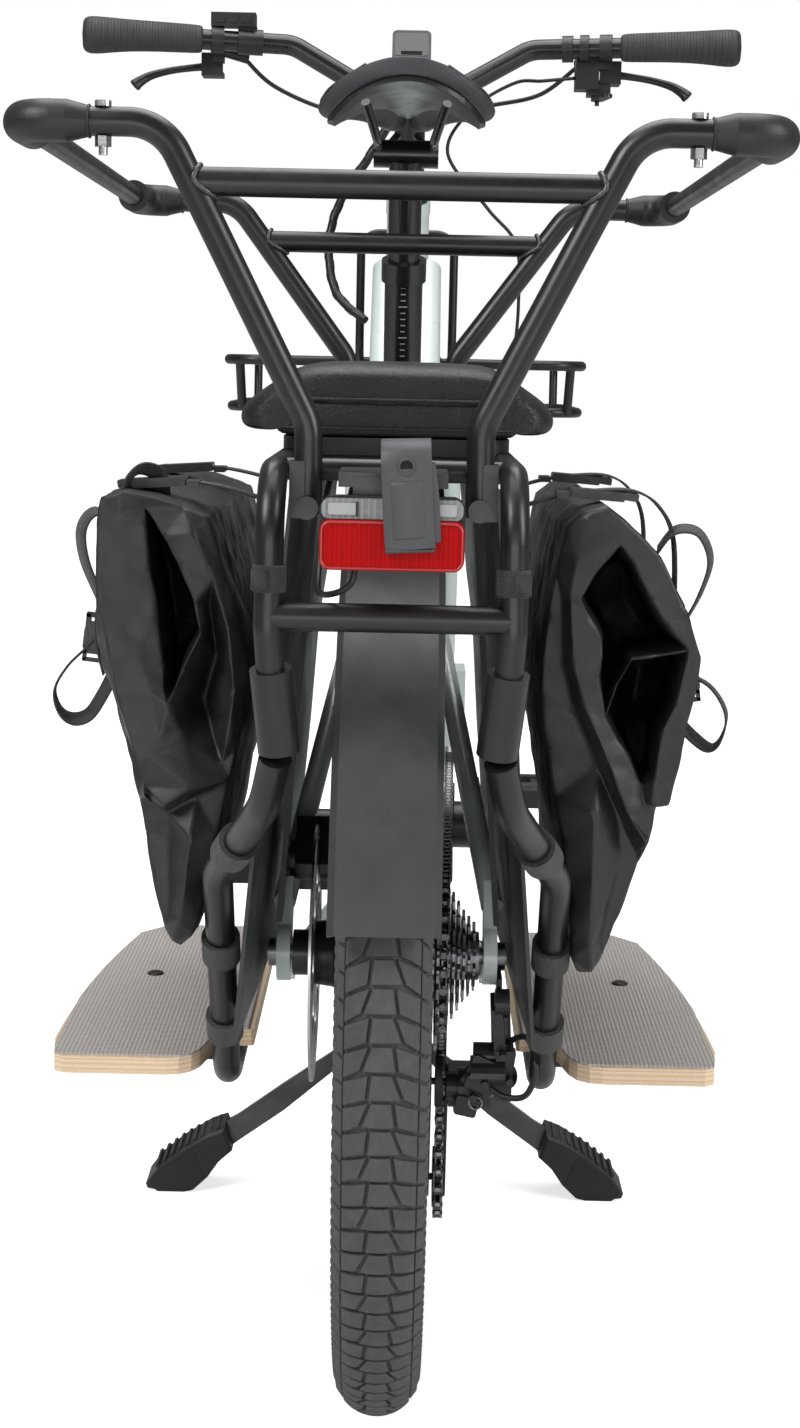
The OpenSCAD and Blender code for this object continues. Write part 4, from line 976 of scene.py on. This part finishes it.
def saddle():
    build = Build()
    stations = [262 - 48.3 * math.sin(math.radians(a)) for a in (81, 74, 62, 48, 32, 16)]
    stations += [262, 280, 300, 325, 350, 380, 410, 440, 460, 470, 477]
    loops = [saddle_loop(stations[0] - 0.8, 4.5, 0.55)]
    loops += [saddle_loop(y) for y in stations]
    loops.append(saddle_loop(479.5, 5, 0.5))
    loft(build, loops)

    def shape(obj):
        bake_modifiers(obj, ("SUBSURF", {"levels": 2, "render_levels": 2}))
    cover = build.make("saddle_foam", "saddle_cover", "saddle", ("saddle_cover",), shape=shape)
    build = Build()
    for s in (-1, 1):
        line = []
        for y in [stations[2], *stations[4:]]:
            if y > 470:
                continue
            w = saddle_width(y)
            a = math.asin(min(1, w * 0.97 / SADDLE_OUT))
            line.append((s * (SADDLE_OUT + 0.1) * math.sin(a), y,
                    SADDLE_ARCH_Z + (SADDLE_OUT + 0.1) * math.cos(a)))
        build.add(*sweep(spline(line, 4), circle(0.9, 6), (0, 0, 1)))
    build.make("saddle_seams", "saddle_cover", "saddle")


# ---------- hoses and cables
CABLES = {
    "left_hose": ([(-190, 1090, 1060), (-160, 1098, 1034), (-108, 1104, 1012), (-60, 1104, 1004),
        (-36, 1096, 994)], 2.5, "stiff"),
    "right_hose": ([(190, 1090, 1060), (150, 1098, 1030), (98, 1104, 1018), (40, 1106, 1010),
        (-8, 1102, 1004)], 2.5, "stiff"),
    "shift_cable": ([(185.8, 1062, 1044), (150, 1076, 1042), (118, 1086, 1040), (70, 1092, 1010),
        (44, 1094, 961), (92, 1098, 900), (127, 1105, 859), (133, 1136, 790),
        (130, 1158, 728)], 2.0, "stiff"),
    "wrapped_loom": ([(-16, 1098, 1006), (-44, 1104, 961), (-80, 1110, 905), (-92, 1105, 855),
        (-82, 1084, 800), (-47, 1058, 768)], 5.5, "stiff"),
    "light_lead": ([(-20, -299, 609.8), (-22, -299, 602), (-30, -292, 596), (-40, -276, 594),
        (-42, -250, 602), (-42, -200, 626), (-42, -120, 644), (-42, 20, 646)], 1.8, "medium"),
}


def hoses():
    for name, (route, r, stiff) in CABLES.items():
        line = spline(route, 12)
        wrapped = name == "wrapped_loom"
        if wrapped:
            line = spline(route, 26)

        def spiral(i):
            """Spiral wrap: the tube's outside rises and falls once a turn, and shifts as it goes."""
            out = []
            for k in range(14):
                a = 2 * math.pi * k / 14
                lift = 0.45 * (1 if math.sin(a + i * 0.55) > 0.35 else -0.6)
                out.append(((r + lift - 0.3) * math.cos(a), (r + lift - 0.3) * math.sin(a)))
            return out
        build = Build()
        build.add(*sweep(line, circle(r, 14), (0, 0, 1), twist=spiral if wrapped else None))
        blended = name in ("shift_cable", "wrapped_loom")
        node = "light_cable" if name == "light_lead" else "control_cables"
        body = None if blended else ("frame" if name == "light_lead" else "steering")
        tube = build.make(name, "cable_black", body, (node,))
        if blended:
            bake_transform(tube)


# ---------- rear light and tie-down strap
def light_details():
    build = Build()
    frame_line = []
    for cx, cz, a0 in ((33.2, 632.2, 0), (-33.2, 632.2, 90), (-33.2, 616.8, 180), (33.2, 616.8, 270)):
        for k in range(6):
            a = math.radians(a0 + 18 * k)
            frame_line.append((cx + 4.6 * math.cos(a), -318.3, cz + 4.6 * math.sin(a)))
    build.add(*sweep(frame_line, circle(0.8, 6), (0, 1, 0), closed=True))
    build.make("reflector_rim", "lens_rim", "frame", slot="lens_red")
    build = Build()
    for x in (-27, 27):
        block(build, (x, -316.3, 643.8), (15, 1.0, 6.4))
    build.make("light_windows", "led_window", "frame", slot="lens_clear", smooth=False)
    build = Build()
    block(build, (0, -316.2, 639.4), (9, 1.6, 2.6))
    for x in (-19, 19):
        block(build, (x, -316.2, 643.8), (1.4, 1.2, 8))
    build.make("light_bezel", "lamp_black", "frame", smooth=False)


def strap():
    """Ribbed rubber hold-down: two raised edges, a button hole near the top whose opening is a near-black
    disc of painted shade, and a tucked tail.
    """
    build = Build()
    section = [(-13.5, -1.3), (-13.2, -1.5), (13.2, -1.5), (13.5, -1.3), (13.5, 1.7), (13.1, 2.1),
            (11.6, 2.1),
               (11.1, 1.5), (10.9, 0.9), (-10.9, 0.9), (-11.1, 1.5), (-11.6, 2.1), (-13.1, 2.1),
               (-13.5, 1.7)]
    line = spline([(6.5, -288, 679.4), (6.5, -304, 679.6), (6.6, -315, 677.8), (6.8, -320.4, 670.5),
                   (7.6, -321.4, 655), (8.8, -321.4, 638), (9.6, -321.4, 628), (10.0, -321.0, 623.2)], 8)
    flipped = [(u, -v) for u, v in section][::-1]
    build.add(*sweep(line, flipped, (1, 0, 0.035)))
    tail = spline([(9.8, -319.2, 668), (12.4, -319.3, 650), (13.4, -319.3, 634), (13.8, -319.4, 626.5)], 6)
    build.add(*sweep(tail, band(25, 1.0, 0.3), (1, 0, 0.05)))
    panel = [(x, y - 1.5, z) for x, y, z in line if 628 < z < 660]
    build.add(*sweep(panel, band(17, 0.9, 0.3), (1, 0, 0.035)))
    curl = [(10.0, -320.4 + 1.6 * math.sin(a), 623.6 - 1.7 * math.cos(a)) for a in
            (math.radians(d) for d in range(-70, 91, 20))]
    build.add(*sweep(curl, band(26.6, 1.7, 0.5), (1, 0, 0.16)))
    obj = build.make("rubber_strap", "strap_rubber", "frame", ("tie_down_strap",))
    build = Build()
    ring = [(7 + 4.1 * math.cos(a), -322.7, 667 + 4.1 * math.sin(a))
            for a in (2 * math.pi * k / 24 for k in range(24))]
    build.add(*sweep(ring, circle(0.9, 6), (0, 1, 0), closed=True))
    build.make("strap_eyelet", "strap_rubber", "frame")
    # painted shade: a thin near-black disc stands in for the dark opening of the button hole
    build = Build()
    disc = [(7 + 3.4 * math.cos(2 * math.pi * k / 24), -322.6, 667 + 3.4 * math.sin(2 * math.pi * k / 24))
            for k in range(24)]
    back = [(x, y + 0.4, z) for x, y, z in disc]
    loft(build, [[Vector(p) for p in disc], [Vector(p) for p in back]])
    build.make("strap_hole_shade", "painted_hole_shade", "frame", slot="strap_rubber", smooth=False)
    return obj


# ---------- chain and toothed wheels
CHAIN_PITCH = 12.7
RING_X, COG_X, COG_BACK = 52.0, 38.7, 57.0
SLOPE = (RING_X - COG_X) / (530 + COG_BACK)


def wheel_radius(teeth):
    return CHAIN_PITCH * teeth / (2 * math.pi)


CHAIN_WHEELS = [(0, 310, wheel_radius(28), 1), (530, 290, wheel_radius(38), 1),
        (26, 136, wheel_radius(13), 1),
                (10, 214, wheel_radius(11), -1)]


def chain_path():
    """Closed run of (y, z) points round the two chainwheels and the two pulleys, 0.5 mm apart."""
    def heading(a, b):
        d = math.hypot(b[0] - a[0], b[1] - a[1])
        return math.atan2(b[1] - a[1], b[0] - a[0]) + math.asin((b[3] * b[2] - a[3] * a[2]) / d)

    def touch(c, way):
        return c[0] - c[3] * c[2] * math.sin(way), c[1] + c[3] * c[2] * math.cos(way)
    pts = []
    count = len(CHAIN_WHEELS)
    for i, a in enumerate(CHAIN_WHEELS):
        b, before = CHAIN_WHEELS[(i + 1) % count], CHAIN_WHEELS[i - 1]
        into, out = heading(before, a), heading(a, b)
        turn = (into - out) % (2 * math.pi) if a[3] > 0 else -((out - into) % (2 * math.pi))
        steps = max(2, int(abs(turn) * a[2] / 0.5))
        for k in range(steps):
            way = into - turn * k / steps
            pts.append(touch(a, way))
        p, q = touch(a, out), touch(b, out)
        steps = int(math.dist(p, q) / 0.5)
        pts += [(p[0] + (q[0] - p[0]) * k / steps, p[1] + (q[1] - p[1]) * k / steps) for k in range(steps)]
    return pts


def link_plate(build, a, b, x, thick, waist):
    """A chain plate between two pins: round ends and a narrower waist."""
    along = (b - a).normalized()
    side = Vector((-along.y, along.x))
    mid = (a + b) / 2
    outline = []
    for centre, flip in ((b, 1), (a, -1)):
        for deg in (-80, -40, 0, 40, 80):
            r = math.radians(deg)
            outline.append(centre + along * flip * 4.1 * math.cos(r) + side * flip * 4.1 * math.sin(r))
        outline.append(mid + side * flip * waist)
    m = len(outline)
    verts = []
    for dx in (-thick / 2, thick / 2):
        verts += [(x(p.x) + dx, p.x, p.y) for p in outline]
    faces = [(k, (k + 1) % m, m + (k + 1) % m, m + k) for k in range(m)]
    build.add(verts, faces + [tuple(range(m))[::-1], tuple(range(m, 2 * m))])


def pin(build, p, x0, x1, r, n=10):
    ring = circle(r, n)
    loft(build, [[Vector((x, p.x + u, p.y + v)) for u, v in ring] for x in (x0, x1)])


def chain():
    path = [Vector(p) for p in chain_path()]
    total, marks = 0.0, [0.0]
    for a, b in zip(path, path[1:] + path[:1]):
        total += (b - a).length
        marks.append(total)
    links = 2 * round(total / CHAIN_PITCH / 2)
    pins, j = [], 0
    for i in range(links):
        want = total * i / links
        while marks[j + 1] < want:
            j += 1
        t = (want - marks[j]) / (marks[j + 1] - marks[j])
        pins.append(path[j].lerp(path[(j + 1) % len(path)], t))

    def lean(y):
        return COG_X + SLOPE * (y + COG_BACK)
    plates, rollers = Build(), Build()
    for i, p in enumerate(pins):
        q = pins[(i + 1) % links]
        off = 3.05 if i % 2 else 2.1
        for s in (-1, 1):
            link_plate(plates, p, q, lambda y, s=s, off=off: lean(y) + s * off, 0.85, 3.1)
        x = lean(p.x)
        pin(rollers, p, x - 1.6, x + 1.6, 3.8)
        pin(rollers, p, x - 3.75, x + 3.75, 1.7, 8)
    plates.make("chain_plates", "chain_plate", "frame", ("chain",), smooth=False, slot="steel_dark")
    rollers.make("chain_rollers", "steel_dark", "frame", ("chain",), smooth=False)


def toothed(name, y, z, x, teeth, body, mat, thick=1.8, inner=-4.35, slot=None):
    """The teeth round a wheel that carries the chain."""
    build = Build()
    r = wheel_radius(teeth)
    ring_out, ring_in = [], []
    for k in range(teeth):
        for share, dr in ((0.0, -3.5), (0.14, -3.3), (0.30, -1.4), (0.42, 2.0), (0.58, 2.0), (0.70, -1.4),
                (0.86, -3.3)):
            a = 2 * math.pi * (k + share) / teeth
            ring_out.append((math.cos(a), math.sin(a), r + dr))
            ring_in.append((math.cos(a), math.sin(a), r + inner))
    loops = []
    for dx, ring in ((-thick / 2, ring_in), (-thick / 2, ring_out), (thick / 2, ring_out),
            (thick / 2, ring_in)):
        loops.append([Vector((x + dx, y + c * q, z + s * q)) for c, s, q in ring])
    loft(build, loops + [loops[0]], cap=False)
    build.make(name, mat, body, smooth=False, slot=slot)


# ---------- small metal and plastic details
def bead(build, y, x_end, z, way, r=8.3, lean=(0.454, 0.891)):
    """A weld bead where a level bar of radius r meets a hoop's sloping tube."""
    ux, uz = lean[0] * (1 if x_end > 0 else -1), lean[1]
    line = []
    for k in range(40):
        a = 2 * math.pi * k / 40
        b, h = r * math.cos(a), r * math.sin(a)
        qa = 1 - ux * ux
        qb = -2 * ux * uz * h
        qc = b * b + h * h - (uz * h) ** 2 - (r + 0.4) ** 2
        root = math.sqrt(max(0, qb * qb - 4 * qa * qc))
        x = (-qb - (1 if x_end > 0 else -1) * root) / (2 * qa)
        line.append((x_end + x, y + b * 1.04, z + h * 1.04))

    def ripple(i):
        return [(u * (1 + 0.22 * math.cos(i * 2 * math.pi / 2.5)),
                v * (1 + 0.22 * math.cos(i * 2 * math.pi / 2.5)))
                for u, v in circle(1.5, 8)]
    build.add(*sweep(line, circle(1.5, 8), (0, 1, 0), closed=True, twist=ripple))


def welds():
    build = Build()
    for y, x, z, lean in ((-250, 116, 818, (0.454, 0.891)), (236, 107.4, 812, (0.599, 0.801))):
        for s in (-1, 1):
            bead(build, y, s * x, z, s, lean=lean)
    build.make("hoop_welds", "weld_black", "frame", slot="black_metal")


def elbow_rings():
    """The thin step where each tube enters its elbow."""
    build = Build()
    for y, z in ((-250, 849), (236, 841)):
        for s in (-1, 1):
            ring = [(s * 171.6, y + 8.6 * math.cos(a), z + 8.6 * math.sin(a))
                    for a in (2 * math.pi * k / 32 for k in range(32))]
            build.add(*sweep(ring, circle(0.8, 6), (1, 0, 0), closed=True))
    build.make("elbow_rings", "motor_black", "frame")


def grips_and_levers():
    """Winged grips that swell towards the bar's ends, and hooked brake levers."""
    inner, outer = Vector((134, 1048, 1072)), Vector((362, 1017.9, 1077))
    along = (outer - inner).normalized()
    rise = Vector((0, 0, 1)) - along * along.z
    rise.normalize()
    back = along.cross(rise)
    build = Build()
    for s in (-1, 1):
        loops = []
        for d, up, deep, drop in ((101, 13.2, 13.2, 0), (103, 15.4, 15.4, 0), (118, 15.8, 15.8, 0),
                (150, 16.4, 16.6, 0), (180, 17.2, 18.0, -0.6), (203, 19.0, 22.0, -1.6),
                (220, 20.6, 26.0, -2.6), (230, 20.0, 25.0, -2.6), (235.5, 15.5, 20.0, -2.0)):
            ring = []
            for k in range(20):
                a = 2 * math.pi * k / 20
                p = inner + along * d + rise * (up * math.sin(a) + drop) + back * deep * math.cos(a)
                ring.append(Vector((s * p.x, p.y, p.z)))
            loops.append(ring)
        loft(build, loops)

    def shape(obj):
        bake_modifiers(obj, ("SUBSURF", {"levels": 1, "render_levels": 1}))
    build.make("winged_grips", "grip_rubber", "steering", ("grips",), shape=shape)
    for s, name in ((-1, "left"), (1, "right")):
        build = Build()
        line = spline([(s * x, y, z) for x, y, z in ((219, 1072, 1051.4), (232, 1081, 1051),
                (250, 1091, 1050.5),
                (276, 1096, 1047.5), (299, 1095, 1041.5), (312, 1091, 1034),
                (318, 1088, 1028.5))], 6)
        last = len(line) - 1

        def taper(i):
            t = i / last
            wide = 6.2 - 2.2 * math.sin(math.pi * min(1, t * 1.15)) + (0.6 if t > 0.9 else 0)
            return [(u * wide, v * 3.6) for u, v in circle(1, 14)]
        build.add(*sweep(line, circle(1, 14), (0, 0, 1), twist=taper))
        build.make(f"{name}_lever_blade", "black_metal", f"lever_{name}", (f"{name}_brake_lever",))


def post_marks():
    """Height scale up the back of the lower seatpost: plain ticks, every fifth one longer."""
    build = Build()
    back = Vector((0, -math.cos(math.radians(20)), -math.sin(math.radians(20))))
    for k in range(16):
        z = 722 + k * 5
        foot = Vector((0, 530 - (z - 290) / math.tan(math.radians(70)), z))
        block(build, foot + back * 15.85, (7 if k % 5 == 0 else 4, 0.4, 0.9), 0, -20)
    build.make("post_ticks", "led_window", "frame", smooth=False, slot="post_black")


def straps_and_caps():
    """Hook-and-loop wraps on the rack's legs, and dark caps over the board bolts."""
    build = Build()
    for s in (-1, 1):
        rings = []
        for z, r in ((595.5, 8.6), (596, 9.5), (610, 9.5), (610.5, 8.6)):
            rings.append([Vector((s * 67.3 + u, -288.7 + v, z)) for u, v in circle(r, 24)])
        loft(build, rings)
        block(build, (s * 67.3 + s * 5, -298.6, 603), (9, 1.8, 13), 0)
    build.make("rack_wraps", "strap_fabric", "frame")
    build = Build()
    for s in (-1, 1):
        rings = [[Vector((s * 180 + u, 145 + v, z)) for u, v in circle(r, 20)]
                 for z, r in ((249.0, 6.3), (250.4, 6.2), (251.2, 5.0))]
        loft(build, rings)
    build.make("board_bolt_caps", "lamp_black", "frame")


def derailleur():
    """Knuckles, parallelogram, cage, screws, return spring and cable loop."""
    build = Build()

    def barrel(p, q, r, n=20):
        build.add(*sweep([p, q], circle(r, n), (0, 0, 1)))

    barrel((62, -18, 243), (90, -18, 243), 9.5)
    barrel((60, -24, 232), (84, -24, 232), 12.5)
    barrel((52, -6, 216), (70, -6, 216), 13.5)
    barrel((44, -6, 216), (53, -6, 216), 10.0)
    barrel((76, -20, 282), (86, -20, 282), 10.0)
    for x, y, z, dims, turn in ((72, -27, 236, (26, 9, 15), 24), (66, -19, 224, (24, 10, 12), 38),
            (79, -22, 262, (8, 12, 34), -6), (88, -22, 240, (5, 12, 18), 8),
            (58, -16, 206, (16, 9, 14), 12), (64, -34, 228, (15, 4, 9), 20)):
        block(build, (x, y, z), dims, turn)
    for x, z in ((70, 229), (62, 219), (82, 249), (87, 231)):
        barrel((x, -41, z), (x, -33, z), 2.6, 10)
    build.make("derailleur_body", "control_plastic", "frame", smooth=False)
    build = Build()
    coil = [(64 + 4.6 * math.cos(a), -33 + a * 0.28, 213 + 4.6 * math.sin(a)) for a in
            (2 * math.pi * k / 16 for k in range(58))]
    build.add(*sweep(coil, circle(0.7, 6), (0, 1, 0)))
    build.make("derailleur_spring", "steel_dark", "frame")
    build = Build()
    loop = spline([(84, -18, 252), (98, -34, 262), (104, -52, 246), (98, -50, 226), (84, -44, 222),
                   (74, -38, 226)], 8)
    build.add(*sweep(loop, circle(2.2, 10), (0, 0, 1)))
    build.make("gear_cable_loop", "cable_black", "frame")


SHOE = [(134, 38), (140.8, 58), (154.5, 53), (178, 38), (198.5, 21), (209.5, 6), (208, 2), (197, 0.3),
        (175, 0.3),
        (168, 1), (155.5, 13), (146, 27)]


def stand_shoes():
    """Moulded shoes on the stand's legs, ribbed along the upper edge."""
    build = Build()
    for s in (-1, 1):
        rings = []
        for y, grow in ((324.5, -2.5), (326.5, 0), (368, 0), (370, -2.5)):
            cx, cz = 172, 22
            rings.append([Vector((s * (cx + (x - cx) * (1 + grow / 40)), y,
                    max(0.3, cz + (z - cz) * (1 + grow / 26))))
                          for x, z in SHOE][::s])
        loft(build, rings)
        for k in range(9):
            t = k / 8
            x, z = 147 + 52 * t, 54.6 - 33 * t + 3.0 * math.sin(math.pi * t)
            block(build, (s * x, 347, z), (3.2, 38, 4.0), s * 36)
    build.make("stand_shoes", "pedal_plastic", "stand", smooth=False)


def display():
    """Screen of the bar computer, and the keys of the remote."""
    centre = Vector((0, 1060, 1070))
    up = Vector((0, math.cos(math.radians(62)), math.sin(math.radians(62))))
    out = Vector((0, -math.sin(math.radians(62)), math.cos(math.radians(62))))
    build = Build()
    loop = []
    for cx, cy, a0 in ((15, 13, 0), (-15, 13, 90), (-15, -9, 180), (15, -9, 270)):
        for k in range(5):
            a = math.radians(a0 + 22.5 * k)
            loop.append((cx + 4 * math.cos(a), cy + 4 * math.sin(a)))
    loops = [[centre + Vector((1, 0, 0)) * u + up * v + out * h for u, v in loop] for h in (8.6, 9.4)]
    loft(build, loops)
    build.make("bar_screen", "screen_glass", "steering", slot="control_plastic", smooth=False)
    build = Build()
    for dx in (-14, 0, 14):
        block(build, (-200 + dx, 1028.6, 1096.5), (11, 1.6, 8.5))
    build.make("remote_keys", "control_plastic", "steering", smooth=False)


make_camera()
floor = make_studio()
MATS = make_materials()
floor.data.materials.append(floor_material())
dress_cad(MATS)
hoses()
tyre("rear_tread_tyre", 0, "rear_wheel", "rear_tyre")
tyre("front_tread_tyre", WHEELBASE, "front_wheel", "front_tyre")
pannier("left_bag", LEFT_BAG, -1, 3)
pannier("right_bag", RIGHT_BAG, 1, 11)
bag_straps()
cushion()
saddle()
light_details()
strap()
chain()
toothed("chain_cog_teeth", 0, 310, 39.6, 28, "sprockets", "steel_dark", 1.7)
toothed("chainring_teeth", 530, 290, 52, 38, "crank", "black_metal", 2.2)
welds()
elbow_rings()
grips_and_levers()
post_marks()
straps_and_caps()
derailleur()
stand_shoes()
display()
